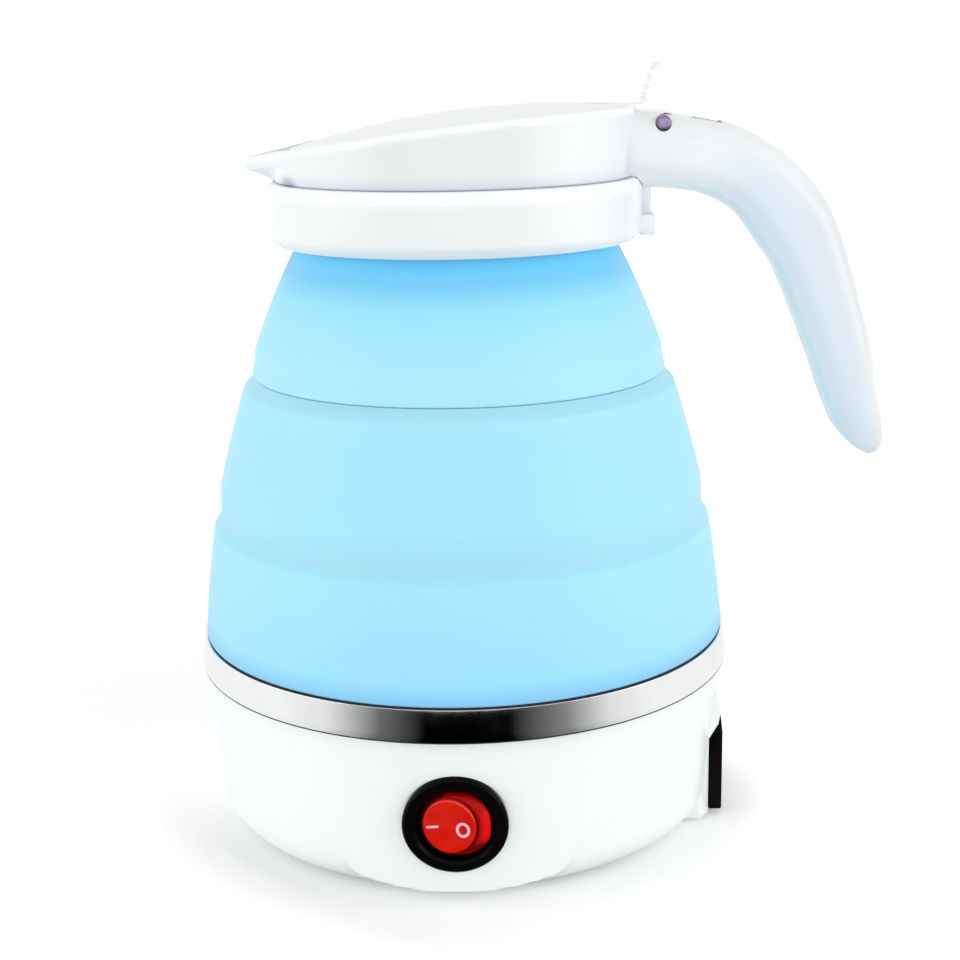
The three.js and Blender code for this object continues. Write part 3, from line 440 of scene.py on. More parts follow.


# Tints of painted light and shade, in order: painted shade in hollows and under parts, painted blue light
# bounced from the body, painted shadow in dark gaps, and painted grey shade on walls by how light falls.
TINTS = {
    "dusk": (0.80, 0.78, 0.90),
    "cool": (0.82, 0.88, 0.97),
    "deep": (0.34, 0.31, 0.50),
    "dim": (0.78, 0.785, 0.79),
}
# The next three materials are copies of one white plastic, made lighter or darker as painted light and shade:
# the first for the handle, tab ribs and bottom cover, the second for the collar, housing and lid, the third
# for the base, whose copy is also faintly green.
white = washed(plastic("white_plastic", (0.81, 0.84, 0.845), (0.82, 0.85, 0.853), coat=0.25, cloud=24), TINTS)
top_white = washed(plastic("top_white_plastic", (0.905, 0.938, 0.942), (0.915, 0.946, 0.95),
                           coat=0.25, cloud=24, veil=0.16), TINTS)
base_white = plastic("base_white", (0.88, 0.927, 0.913), (0.89, 0.937, 0.921),
                     coat=0.2, cloud=24, veil=0.35)
tab_white = plastic("tab_white", (0.93, 0.945, 0.94), (0.94, 0.955, 0.95), coat=0.2)
black = plastic("black_plastic", (0.0015, 0.0012, 0.0018), (0.003, 0.0025, 0.0036),
                rough=(0.12, 0.2), grain=0.04, index=1.14)
matte_black = plastic("matte_black_plastic", (0.0015, 0.001, 0.002), (0.003, 0.002, 0.004),
                      rough=(0.3, 0.4), grain=0.15, index=1.14)
rubber = plastic("foot_rubber", (0.020, 0.021, 0.023), (0.032, 0.034, 0.037),
                 rough=(0.75, 0.9), grain=0.35, fine=1400, index=1.25)
wire_cover = plastic("wire_covering", (0.035, 0.05, 0.24), (0.05, 0.07, 0.3), rough=(0.5, 0.62), grain=0.1)
mark_white = plastic("switch_mark", (0.90, 0.44, 0.58), (0.94, 0.50, 0.62), rough=(0.4, 0.5), cloud=900)
red = red_plastic("red_plastic", (0.62, 0.004, 0.0008), (0.74, 0.012, 0.0015))
# A rougher copy of the red plastic for the rocker's body, darkened at places by painted shade.
red_deep = washed(red_plastic("deep_red_plastic", (0.58, 0.002, 0.002), (0.74, 0.003, 0.0025),
                              rough=(0.3, 0.4), coat=0, index=1.2), {"shade": (0.10, 0.08, 0.08)})
silicone = silicone_rubber()
chrome = metal("chrome", (0.86, 0.87, 0.88), (0.90, 0.905, 0.91), (0.05, 0.09), 120, 0.01)
steel = metal("brushed_steel", (0.50, 0.51, 0.52), (0.62, 0.63, 0.64), (0.28, 0.38), 240, 0.1, (1, 1, 14))
aluminium = metal("aluminium", (0.62, 0.63, 0.65), (0.72, 0.73, 0.74), (0.32, 0.45), 500, 0.15)
brass = metal("brass", (0.60, 0.42, 0.13), (0.70, 0.52, 0.19), (0.28, 0.38), 420, 0.08)
dark_pin = metal("pin_steel", (0.2, 0.165, 0.27), (0.27, 0.225, 0.36), (0.28, 0.4), 900, 0.05)


def paint(made, look):
    made.data.materials.clear()
    made.data.materials.append(look)


def dress(made, look, body=None, nodes=(), name=None):
    """Gives a piece its name, material and body, and hides the CAD nodes that it replaces."""
    made.name = name or made.name
    paint(made, look)
    if nodes:
        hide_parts(*nodes)
    if body:
        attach(made, body)


# Sizes and levels that several pieces share, as in the solids

BOTTOM, RING_LOW, RING_TOP = 1, 39, 46.5
COLLAR_Z, COLLAR_TOP, HOUSING_Z, RIM_Z = 138, 151.8, 152.1, 167.6
LIP_R, BEAD_R, BEAD_Z, BEAD_TOP, SKIRT_Z = 37.2, 39.8, 141, 144.2, 144.5
COLLAR_R, HOUSING_R, RIM_R, SEAT_R, MOUTH_R = 43.1, 41, 41.3, 38, 36.2
HINGE_X, HINGE_Z = 47.8, 163.6
SLOT_HALF = 5.7
BEYOND = 70

SWITCH_Z, SEAT_Y, BEZEL_R, BARREL_R = 19.6, -59.9, 11.5, 9.9
FLAT = 0.955  # the photograph shows the bezel this much lower than wide

INLET_Z, INLET_FACE, INLET_BACK, INLET_GAP = 12.8, 61.9, 58.7, 0.3
FLANGE_WIDTH, FLANGE_HEIGHT, PLUG_WIDTH, PLUG_HEIGHT = 31.2, 22.6, 26.2, 18.6

# Base housing: a bowl whose front wall runs straight down behind the switch

BASE_TOP_R, BASE_LOW_R, BASE_BOTTOM_R, BASE_WALL = 61.5, 60.1, 52.2, 2.4
BASE_STEPS = 360
KNEE = 9
KNEE_Z = BOTTOM + KNEE
SHELF_TOP, SHELF_LOW, SHELF_R = 39.6, 37.2, 55.3
FLOOR_TOP, FLOOR_R, FLOOR_EDGE = 3.4, 50.5, 0.3
PAD_R, PAD_TOP, PAD_HALF, PAD_TAPER, PAD_TAPER_LENGTH, PAD_FOOT = 60.9, 27.6, 31, 9.5, 9, 3.6
PAD_LOW, PAD_LOW_RISE, PAD_LOW_HALF = 1.8, 2.6, 22
PAD_SIDE_EDGE, PAD_TOP_EDGE, PAD_LOW_EDGE = 3.6, 1.6, 1.8
BOSS_ROOT_X, BOSS_X, BOSS_FACE_X, BOSS_HALF, BOSS_FACE_HALF = 50, 56.4, 58.5, 19.8, 16.6
BOSS_Z, BOSS_EDGE = (0.9, 24.6), 0.6
HOOD_LINE = [(50, 19.6), (58.3, 19.6), (60.9, 24.1), (61.5, 25.4), (61.5, 27), (60.8, 28.8), (57, 31),
             (50, 31)]
HOOD_R, HOOD_EDGE = 62.9, 0.4
SEAT_GAP, BARREL_GAP, BARREL_HOLE_Y = 0.2, 0.3, (-66, -45)


def base_radius(z):
    if z < KNEE_Z:
        lift = acos(max(0, min(1, 1 - (z - BOTTOM) / KNEE)))
        return BASE_BOTTOM_R + (BASE_LOW_R - BASE_BOTTOM_R) * sin(lift)
    return BASE_LOW_R + (BASE_TOP_R - BASE_LOW_R) * (z - KNEE_Z) / (RING_LOW - KNEE_Z)


def padded_wall(r, x, y, z):
    """The pad's radius takes over from the bowl's between the pad's edges."""
    half = PAD_HALF - PAD_TAPER * exp(-max(0, z - PAD_FOOT) / PAD_TAPER_LENGTH)
    low = PAD_LOW + PAD_LOW_RISE * min(1, (x / PAD_LOW_HALF) ** 2)
    edge = step((half - abs(x)) / PAD_SIDE_EDGE + 1 / 3) * step((PAD_TOP - z) / PAD_TOP_EDGE)
    edge *= step((z - low) / PAD_LOW_EDGE)
    return r + (max(r, PAD_R) - r) * edge * (1 if y < 0 else 0)


def flattened(made):
    """Lowers a round cut of the switch to the bezel's shape in the photograph."""
    lift = Matrix.Translation((0, 0, SWITCH_Z * MM))
    made.data.transform(lift @ Matrix.Diagonal((1, 1, FLAT, 1)) @ lift.inverted())
    return made


def base_bowl():
    levels = [BOTTOM + KNEE * (1 - cos(radians(a))) for a in range(0, 91, 5)]
    levels += [KNEE_Z + (SHELF_TOP - KNEE_Z) * i / 24 for i in range(1, 25)]
    rings = []
    for z in levels:
        r = base_radius(min(z, RING_LOW))
        walls = [(padded_wall(r, r * c, r * s, z), c, s) for c, s in around(BASE_STEPS)]
        rings.append([(wall * c, wall * s, z) for wall, c, s in walls])
    inner = [
        (BASE_TOP_R - 0.4, SHELF_TOP), (SHELF_R, SHELF_TOP), (SHELF_R, SHELF_LOW),
        (BASE_TOP_R - BASE_WALL, SHELF_LOW), (BASE_LOW_R - BASE_WALL, KNEE_Z), (BASE_BOTTOM_R, FLOOR_TOP),
        (FLOOR_R, FLOOR_TOP),
        (FLOOR_R, BOTTOM + FLOOR_EDGE), (FLOOR_R + FLOOR_EDGE, BOTTOM)]
    rings += [circle(r, z, BASE_STEPS) for r, z in inner]
    bowl = piece("base_bowl", *grid(rings))
    boss_side = [(BOSS_ROOT_X, BOSS_HALF), (BOSS_X, BOSS_HALF), (BOSS_FACE_X, BOSS_FACE_HALF)]
    boss = drawn("boss", [(x, -y) for x, y in boss_side] + boss_side[::-1], *BOSS_Z, BOSS_EDGE, axis="Z")
    hood = drawn("hood", HOOD_LINE, -BOSS_FACE_HALF, BOSS_FACE_HALF, HOOD_EDGE)
    hood = cut(hood, rod(HOOD_R, 0, 40, "Z", steps=192), mode="INTERSECT")
    bowl = cut(bowl, boss, hood, mode="UNION")
    pocket = box((INLET_BACK - INLET_GAP, BEYOND), both(FLANGE_WIDTH / 2 + INLET_GAP),
                 (-1, INLET_Z + FLANGE_HEIGHT / 2 + INLET_GAP))
    hole = box((40, BEYOND), both(PLUG_WIDTH / 2 + INLET_GAP), both(PLUG_HEIGHT / 2 + INLET_GAP, INLET_Z))
    seat = flattened(rod(BEZEL_R + SEAT_GAP, -BEYOND, SEAT_Y, "Y", (0, SWITCH_Z), 96))
    barrel = rod(BARREL_R + BARREL_GAP, *BARREL_HOLE_Y, "Y", (0, SWITCH_Z), 96)
    return cut(bowl, pocket, hole, seat, barrel)


dress(base_bowl(), base_white, "base", ["base_housing"])

# Bottom cover, feet and cover screws

COVER_R, COVER_TOP, RECESS_R, RECESS = 50.2, 3, 20, 0.2
FOOT_PLACE, FOOT_R, FOOT_GAP, FOOT_TOP = 40, 5, 0.3, 1.7
SCREW_PLACE, POST_R, POST_TOP, HEAD_R, HEAD_GAP, HEAD_Z = 44, 5, 4.5, 3, 0.3, (1.4, 2.8)
SHANK_R, SHANK_GAP, SHANK_TOP, CROSS_LENGTH, CROSS_WIDTH, CROSS_TOP = 1.5, 0.3, 11.8, 1.7, 0.4, 2.2


def polar(distance, degrees):
    return distance * cos(radians(degrees)), distance * sin(radians(degrees))


def bottom_plate():
    """The cover, with its feet and screws dressed on the way."""
    cover = turned("bottom_plate", rounded([
        (0, BOTTOM + RECESS), (RECESS_R, BOTTOM + RECESS, 0.1), (RECESS_R + RECESS, BOTTOM, 0.1),
        (COVER_R, BOTTOM, 0.3), (COVER_R, COVER_TOP, 0.2), (0, COVER_TOP)], closed=False))
    for i in range(4):
        at = polar(FOOT_PLACE, 45 + 90 * i)
        cover = cut(cover, rod(FOOT_R + FOOT_GAP, -1, FOOT_TOP + FOOT_GAP, "Z", at))
        foot = rod(FOOT_R, 0, FOOT_TOP, "Z", at, edge=0.6)
        dress(foot, rubber, "base", [f"foot_{i + 1}"], f"rubber_foot_{i + 1}")
    for i in range(3):
        x, y = at = polar(SCREW_PLACE, 60 + 120 * i)
        cover = cut(cover, rod(POST_R, 2, POST_TOP, "Z", at), mode="UNION")
        cover = cut(cover, rod(HEAD_R + HEAD_GAP, -1, HEAD_Z[1] + HEAD_GAP, "Z", at),
                    rod(SHANK_R + SHANK_GAP, 0, 6, "Z", at))
        head = rod(HEAD_R, *HEAD_Z, "Z", at, edge=0.3)
        for long_x, long_y in ((CROSS_LENGTH, CROSS_WIDTH), (CROSS_WIDTH, CROSS_LENGTH)):
            head = cut(head, box(both(long_x, x), both(long_y, y), (1, CROSS_TOP)))
        shank = rod(SHANK_R, HEAD_Z[1] - 0.1, SHANK_TOP, "Z", at, 32, 0.3)
        dress(joined(f"plate_screw_{i + 1}", head, shank), steel, "base", [f"cover_screw_{i + 1}"])
    return cover


dress(bottom_plate(), white, "base", ["bottom_cover"])

# Chrome trim ring between two thin dark rubber bands, which paint the shadow gaps at its edges

RING_Z, RING_END, RING_R, RING_TOP_R, RING_BACK_R = 39.3, 46.3, 63.5, 62.7, 61.8
RING_SHOULDER = (63.42, 40.6, 0.8)
SEAL_LOW = [(62.6, 39, 0.1), (63.45, 39, 0.1), (63.45, 39.28), (62.6, 39.28)]
SEAL_TOP = [(61.3, 46.25), (62.1, 46.25), (62.1, 46.66), (61.3, 46.66)]

ring_line = [(RING_BACK_R, RING_Z, 0.1), (RING_R, RING_Z, 0.1), RING_SHOULDER, (RING_TOP_R, RING_END, 0.08),
             (RING_BACK_R, RING_END, 0.1)]
dress(turned("chrome_ring", rounded(ring_line), 256), chrome, "base", ["trim_ring"])
for name, line in (("ring_seal_low", SEAL_LOW), ("ring_seal_top", SEAL_TOP)):
    dress(turned(name, rounded(line, 3), 256), rubber, "base")

# Silicone: three tiers and two folds, as two skins that meet inside the upper fold's foot

SKIN, SHADE_HEIGHT = 1.8, 143
LIP_INNER_R, LIP_LOW, LIP_HIGH, SLEEVE_R, SLEEVE_EDGE = 55.5, 39.9, 43.9, 61.2, 0.2
Tier = namedtuple("Tier", "foot_r top_r foot_z top_z bulge")
LOWER, LOWER_INSIDE = Tier(62.2, 59.0, 47.1, 71.9, 0.25), Tier(62.1, 59.0, 48.0, 71.9, 0.25)
MIDDLE, UPPER = Tier(57.0, 50.7, 82.0, 104.5, 0.2), Tier(47.4, 36.9, 114.0, 137.7, 0.5)
SOFT_FOLD_SHARES = [(0, 0), (0.04, 0.06), (0.1, 0.28), (0.18, 0.56), (0.3, 0.79), (0.46, 0.9), (0.7, 0.95),
                    (1, 1)]
CREASED_FOLD_SHARES = [(0, 0), (0.05, 0.07), (0.12, 0.26), (0.2, 0.5), (0.27, 0.67), (0.32, 0.77),
                       (0.343, 0.84)]
TUCKED_FOOT_SHARES = [(0.352, 0.84), (0.375, 0.76), (0.44, 0.74), (0.58, 0.82), (0.8, 0.94), (1, 1)]
LOWER_FOLD_INSIDE = [(57.0, 74), (55.9, 79), (55.2, 82)]
CREASE_INSIDE = [(48.6, 105.6), (47.9, 106.9), (47.5, 107.6)]
FOOT_INSIDE = [(47.2, 107.9), (46.4, 110), (45.6, 114)]


def tier_wall(tier, thickness=0, count=10):
    """A tier's wall, which stands out by its bulge half way up."""
    line = []
    for share in (i / count for i in range(count + 1)):
        r = tier.foot_r - thickness + (tier.top_r - tier.foot_r) * share
        line.append((r + 4 * tier.bulge * share * (1 - share), even([tier.foot_z, tier.top_z], share)))
    return line


def folded(below, above, fold_shares):
    """The fold from one tier's top to the next one's foot."""
    radii, levels = [below.top_r, above.foot_r], [below.top_z, above.foot_z]
    return spline([(even(radii, inward), even(levels, up)) for up, inward in fold_shares], 5)


def skin(name, outer, inner):
    made = turned(name, outer + inner[::-1], 256, sharp=50)
    return shares(made, rest_height=lambda x, y, z: z / SHADE_HEIGHT)


def lower_skin():
    outer = [
        (LIP_INNER_R, LIP_LOW), (SLEEVE_R - SLEEVE_EDGE, LIP_LOW), (SLEEVE_R, LIP_LOW + SLEEVE_EDGE),
        (SLEEVE_R, RING_TOP), (SLEEVE_R + 0.2, RING_TOP + 0.15), (LOWER.foot_r - 0.2, RING_TOP + 0.15),
        (LOWER.foot_r, RING_TOP + 0.35)]
    outer += tier_wall(LOWER) + folded(LOWER, MIDDLE, SOFT_FOLD_SHARES)[1:]
    outer += tier_wall(MIDDLE)[1:] + folded(MIDDLE, UPPER, CREASED_FOLD_SHARES)[1:]
    inner = [
        (LIP_INNER_R, LIP_HIGH), (SLEEVE_R - SKIN, LIP_HIGH), (SLEEVE_R - SKIN, RING_TOP),
        (LOWER.foot_r - SKIN, RING_TOP + 0.3)]
    inner += tier_wall(LOWER_INSIDE, SKIN) + LOWER_FOLD_INSIDE + tier_wall(MIDDLE, SKIN)[1:] + CREASE_INSIDE
    return skin("silicone_lower", outer, inner)


def upper_skin():
    outer = folded(MIDDLE, UPPER, TUCKED_FOOT_SHARES) + tier_wall(UPPER)[1:]
    outer += [(UPPER.top_r, BEAD_Z), (BEAD_R - 0.2, BEAD_Z), (BEAD_R, BEAD_Z + 0.2), (BEAD_R, BEAD_TOP - 0.2),
              (BEAD_R - 0.2, BEAD_TOP)]
    inner = FOOT_INSIDE + tier_wall(UPPER, SKIN)[1:] + [(UPPER.top_r - SKIN, BEAD_TOP)]
    return skin("silicone_upper", outer, inner)


lower, upper = lower_skin(), upper_skin()
dress(lower, silicone, None, ["tier_lower", "fold_lower", "tier_middle"])
dress(upper, silicone, None, ["fold_upper", "tier_upper"])
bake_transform(lower)
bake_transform(upper)

# Collar with the keeper for the handle's tongue

COLLAR_FOOT_R, COLLAR_RISE, COLLAR_GAP = 41.2, 0.25, 0.3
# Extra levels on the collar's wall, where its painted shade changes.
SHADE_LEVELS = (144, 148.2, 149.2)
TONGUE_X, TONGUE_HALF, TONGUE_Z, TONGUE_EDGE = (42.6, 44.7), 5, (140.2, 153.5), 0.3
KEEPER_X, KEEPER_HALF, KEEPER_Z, KEEPER_EDGE = (42, 45.6), 7, (138.9, 143.5), 0.4
KEEPER_SLOT_X, KEEPER_SLOT_HALF = (43.2, 44.85), 5.1


def neck_collar():
    collar_line = [(LIP_R, COLLAR_Z, 0.2), (COLLAR_FOOT_R, COLLAR_Z, 0.8), (COLLAR_R, COLLAR_Z + 1.9, 1.9)]
    collar_line += [(COLLAR_R, z) for z in SHADE_LEVELS]
    collar_line += [
        (COLLAR_R, COLLAR_TOP - 1.6, 1.2), (COLLAR_R - 0.9, COLLAR_TOP + COLLAR_RISE, 0.9),
        (BEAD_R + COLLAR_GAP, COLLAR_TOP + COLLAR_RISE, 0.1), (BEAD_R + COLLAR_GAP, BEAD_Z - COLLAR_GAP),
        (LIP_R, BEAD_Z - COLLAR_GAP, 0.2)]
    collar = turned("neck_collar", rounded(collar_line))
    collar = cut(collar, box(KEEPER_X, both(KEEPER_HALF), KEEPER_Z, KEEPER_EDGE), mode="UNION")
    return cut(collar, box(KEEPER_SLOT_X, both(KEEPER_SLOT_HALF), (137, 145)))


def front_dim(x, y, side, front):
    """Painted shade: upright walls are a little greyer towards the front."""
    return side + (front - side) * step((-y / max(hypot(x, y), 1) - 0.6) / 0.35)


def collar_dim(x, y, z):
    """Painted grey shade on the collar's wall, up to its rounded corner."""
    return front_dim(x, y, 0.5, 0.78) * step((150.4 - z) / 1.8)


dress(shares(neck_collar(), dim=collar_dim), top_white, "top", ["collar"])

# Top housing: a round cup whose rim falls to a beak

FALL, FALL_LENGTH, FALL_POWER = 10.6, 90.4, 1.85
BEAK_X, BEAK_HALF, BEAK_REACH, BEAK_LIP_REACH = 33, 21, 48, 49.4
KEEL_HALF, KEEL_REACH, KEEL_CAP = 11, 42.3, 3
TIP_HALF, TIP_BACK, BEAK_CAP, BEAK_BLEND = 1.0, 0.6, 2.0, 2.2
LIP_BAND, CUP_WALL, RIM_CORNER = 3, 1.6, 1.5
FLARE_TOP = RIM_Z - LIP_BAND
LIP_LEVELS = [165.3, 165.9]
WALL_STEPS, CUP_STEPS = 12, 360
CHANNEL_FLOOR, CHANNEL_UNDER = HOUSING_Z + 0.75, HOUSING_Z - 0.2
SEAT_DEPTH, SEAT_UNDER = 2.7, 4.3
INNER_R, INNER_LOW, SKIRT_CORNER = 38.3, 147, 145.4
NOTCH_X, NOTCH_Z = (34, 50), (159.1, 172)
SCREW_HOLE_R, SCREW_X, SCREW_Y, SCREW_Z = 1.8, (34, 44), 6, 156


def sink(x):
    return FALL * max(0, (HOUSING_R - x) / FALL_LENGTH) ** FALL_POWER


def sunk(x, y, z):
    return (x, y, z - sink(x)) if z > HOUSING_Z + 0.3 else (x, y, z)


def soft_max(a, b, k):
    h = max(0, min(1, 0.5 + 0.5 * (a - b) / k))
    return b + (a - b) * h + k * h * (1 - h)


def wedge(angle, half, reach, cap=BEAK_CAP):
    """Distance from the axis to a beak's edge: a straight side from (BEAK_X, half) to its rounded tip."""
    lean = (half - TIP_HALF) / (reach + TIP_BACK - BEAK_X)
    foot = half + lean * BEAK_X
    if angle > atan2(1, lean):
        return foot / hypot(1, lean)
    return -soft_max(-foot / (abs(sin(angle)) + lean * cos(angle)), -reach / cos(angle), cap)


def housing_wall(angle, z):
    """Outer reach at a height before the rim is sunk; the angle is measured from the beak."""
    flare = HOUSING_R + (RIM_R - HOUSING_R) * (z - HOUSING_Z) / (RIM_Z - HOUSING_Z)
    rise = (z - HOUSING_Z) / (FLARE_TOP - HOUSING_Z)
    lip = wedge(angle, BEAK_HALF, BEAK_REACH)
    if rise <= 1:
        keel = wedge(angle, KEEL_HALF, KEEL_REACH, KEEL_CAP)
        beak = keel + (lip - keel) * rise
    else:
        beak = lip + (wedge(angle, BEAK_HALF, BEAK_LIP_REACH) - lip) * (z - FLARE_TOP) / LIP_BAND
    return soft_max(flare, beak, BEAK_BLEND)


def cup_column(turn):
    """The cup's section at one angle round the axis, as (radius, z) points."""
    angle = abs(pi - turn)
    rise = FLARE_TOP - HOUSING_Z
    rim, wall_foot = housing_wall(angle, RIM_Z), housing_wall(angle, HOUSING_Z)
    open_share = step((rim - CUP_WALL - SEAT_R - 0.1) / 0.6)
    inner = max(SEAT_R, rim - CUP_WALL)
    foot = SEAT_R + (max(housing_wall(angle, HOUSING_Z + 2) - CUP_WALL, SEAT_R) - SEAT_R) * open_share

    def low(r):
        return sink(r * cos(turn))

    column = [(BEAD_R, SKIRT_Z), (BEAD_R, HOUSING_Z - 0.1), (wall_foot - 0.25, HOUSING_Z),
              (wall_foot, HOUSING_Z + 0.25)]
    levels = [HOUSING_Z + rise * k / WALL_STEPS for k in range(1, WALL_STEPS + 1)]
    for z in [HOUSING_Z + 0.7] + levels + LIP_LEVELS:
        r = housing_wall(angle, z)
        column.append((r, z - low(r) * min(1, (z - HOUSING_Z) / rise)))
    corner = min(RIM_CORNER, rim - inner - 0.5)
    for k in range(1, 7):
        bend = radians(15 * k)
        r = rim - corner * (1 - cos(bend))
        column.append((r, RIM_Z - corner + corner * sin(bend) - low(r)))
    for inward, down in ((0.3, 0), (0.08, 0.06), (0, 0.25)):
        column.append((inner + inward, RIM_Z - down - low(inner + inward)))
    shelf = RIM_Z - SEAT_DEPTH - low(SEAT_R)
    shelf += (CHANNEL_FLOOR - shelf) * open_share
    under = RIM_Z - SEAT_UNDER - low(MOUTH_R)
    under += (CHANNEL_UNDER - under) * open_share
    column += [((foot + inner) / 2, (shelf + column[-1][1]) / 2), (foot, shelf + 0.2), (foot - 0.2, shelf)]
    column += [(MOUTH_R, shelf), (MOUTH_R, under), (INNER_R, under - 0.9), (INNER_R, INNER_LOW)]
    return column + [(MOUTH_R, SKIRT_CORNER), (MOUTH_R, SKIRT_Z)]


def top_cup():
    columns = []
    for j in range(CUP_STEPS):
        turn = 2 * pi * j / CUP_STEPS
        columns.append([(r * cos(turn), r * sin(turn), z) for r, z in cup_column(turn)])
    cup = piece("top_cup", *grid(list(zip(*columns))))
    notch = box(NOTCH_X, both(SLOT_HALF), NOTCH_Z)
    screws = [rod(SCREW_HOLE_R, *SCREW_X, "X", (y, SCREW_Z)) for y in both(SCREW_Y)]
    return cut(cup, notch, *screws)


def cup_dusk(x, y, z):
    """Painted shade above the collar, under the beak and beside the handle's root."""
    if hypot(x, y) < HOUSING_R - 0.6:
        return 0
    low = step((HOUSING_Z + 3.2 - z) / 3.2)
    root = 0.9 * step((x - 33) / 6) * step((HOUSING_Z + 11 - z) / 9) * step((16 - abs(y)) / 4)
    return min(1.2, 0.7 * low + root)


def cup_deep(x, y, z):
    """Painted shadow in the notch where the beak leaves the housing, and a fine painted shadow line above the
    collar.
    """
    if hypot(x, y) < HOUSING_R - 0.6:
        return 0
    spot = hypot(x + 35.5, (abs(y) - 20) * 0.7, (z - HOUSING_Z) * 1.7)
    return 0.75 * step((5 - spot) / 4) + 0.35 * step((HOUSING_Z + 0.6 - z) / 0.6)


def cup_dim(x, y, z):
    """Painted grey shade on the outer wall, up to the rounding of the rim."""
    if hypot(x, y) < HOUSING_R - 0.8:
        return 0
    return front_dim(x, y, 0.55, 0.95) * step((RIM_Z - 0.9 - sink(x) - z) / 1.2)


cup = shares(top_cup(), dusk=cup_dusk, deep=cup_deep, dim=cup_dim)
dress(cup, top_white, "top", ["top_housing"])

# Handle: a curved bar with rounded sides, hollow behind a cover strip

HANDLE_X, HANDLE_Z, HANDLE_REACH, HANDLE_DROP, HANDLE_HALF = 43.3, 167.1, 56.3, 81, 10.5
OUTER_SHARES = [
    (-0.094, -0.002), (0.155, 0.02), (0.341, 0.047), (0.51, 0.106), (0.661, 0.196), (0.782, 0.332),
    (0.922, 0.644), (0.959, 0.801), (0.995, 0.916), (0.989, 0.978), (0.961, 0.998)]
INNER_SHARES = [
    (-0.094, 0.217), (0.119, 0.226), (0.252, 0.247), (0.364, 0.294), (0.453, 0.378), (0.535, 0.465),
    (0.668, 0.689), (0.73, 0.81), (0.794, 0.912), (0.869, 0.97), (0.932, 0.998)]
WIDTH_SHARES = [1, 1, 0.98, 0.95, 0.92, 0.9, 0.86, 0.82, 0.74, 0.52, 0.2]
LINE_STEPS, BAR_STEPS, STRIP_STEPS, BAR_SIDES, BAR_ROUNDNESS = 16, 110, 48, 64, 3
HOLLOW_SHARES, HOLLOW_FLOOR, HOLLOW_SIDE = (0.278, 0.782), 2.5, 2.5
STRIP_SHARES, STRIP_DEPTH, STRIP_SIDE = (0.2785, 0.7815), 2.47, 2.53
TAB_SLOT_X, TAB_SLOT_Z = (39, 60.4), (156, 184)
PIN_SPOT, PIN_R, PIN_HOLE_R, PIN_HALF = (HINGE_X - 0.7, HINGE_Z + 0.2), 1.75, 1.82, 9.8
ROOT_OVERLAP = 0.12


def handle_line(line_shares):
    """A line of the handle from shares of its reach and its drop."""
    line = spline(line_shares, LINE_STEPS)
    return [Vector((HANDLE_X + HANDLE_REACH * out, 0, HANDLE_Z - HANDLE_DROP * down)) for out, down in line]


outer_line, inner_line = handle_line(OUTER_SHARES), handle_line(INNER_SHARES)
width_line = [w for w, _ in spline([(w, 0) for w in WIDTH_SHARES], LINE_STEPS)]


def bar(low, high, count, section):
    """Rings along a stretch of the handle; a section takes half its depth and half its width."""
    rings = []
    for i in range(count + 1):
        share = low + (high - low) * i / count
        outer, inner = even(outer_line, share), even(inner_line, share)
        centre, across = (outer + inner) / 2, outer - inner
        normal = across.normalized()
        outline = section(across.length / 2, HANDLE_HALF * even(width_line, share))
        rings.append([tuple(centre + normal * out + Vector((0, aside, 0))) for out, aside in outline])
    return rings


def whole_bar(name):
    def oval(half, width):
        return super_ellipse(half, width, BAR_ROUNDNESS, BAR_SIDES)

    return lofted(name, bar(0, 1, BAR_STEPS, oval), 40)


def strip(stretch, top, side):
    """A flat-sided bar from below the handle's inner face up to a top set by half its depth."""
    def slab(half, width):
        low, high, aside = -half - 2, top(half), width - side
        return [(low, -aside), (high, -aside), (high, aside), (low, aside)]

    return lofted("strip", bar(*stretch, STRIP_STEPS, slab))


def handle_body():
    space = turned("space", [
        (0, 130), (COLLAR_R + 0.06, 130), (COLLAR_R + 0.06, COLLAR_TOP - 1.3),
        (COLLAR_R - 0.84, COLLAR_TOP + 0.33), (HOUSING_R - ROOT_OVERLAP, COLLAR_TOP + 0.36),
        (RIM_R - ROOT_OVERLAP, RIM_Z), (RIM_R - ROOT_OVERLAP, TAB_SLOT_Z[1]), (0, TAB_SLOT_Z[1])])
    tab_slot = box(TAB_SLOT_X, both(SLOT_HALF), TAB_SLOT_Z)
    hollow = strip(HOLLOW_SHARES, lambda half: half - HOLLOW_FLOOR, HOLLOW_SIDE)
    pin_hole = rod(PIN_HOLE_R, -13, 13, "Y", PIN_SPOT)
    shell = cut(whole_bar("handle_body"), space, tab_slot, hollow, pin_hole, sharp=40)
    tongue = box(TONGUE_X, both(TONGUE_HALF), TONGUE_Z, TONGUE_EDGE)
    return joined("handle_body", shell, tongue)


def handle_shade(x, y, z):
    """Place across the bar, from -1 on the inner side to 1 on the outer, and its share along it."""
    last = len(outer_line) - 1
    here = Vector((x, 0, z))
    best = min(range(0, last + 1, 2), key=lambda i: ((outer_line[i] + inner_line[i]) / 2 - here).length)
    across = outer_line[best] - inner_line[best]
    return 2 * (here - inner_line[best]).dot(across) / across.length_squared - 1, best / last


def bounce(x, y, z):
    """Painted blue light bounced from the body on the inner side, weaker at the root."""
    out, along = handle_shade(x, y, z)
    stronger = 0.15 + 0.85 * step((along - 0.12) / 0.2)
    return 0.9 * step((0.9 - out) / 0.8) * step((out + 1.0) / 0.7) * stronger


# Painted grey shade on the outer half of the handle, away from its root.
def outer_dim(x, y, z):
    out, along = handle_shade(x, y, z)
    return 0.6 * step((out - 0.1) / 0.6) * step((along - 0.3) / 0.2)


# Painted shade on the tongue below the handle's root.
def tongue_dusk(x, y, z):
    return 0.6 if z < 149 and x < 46 else 0


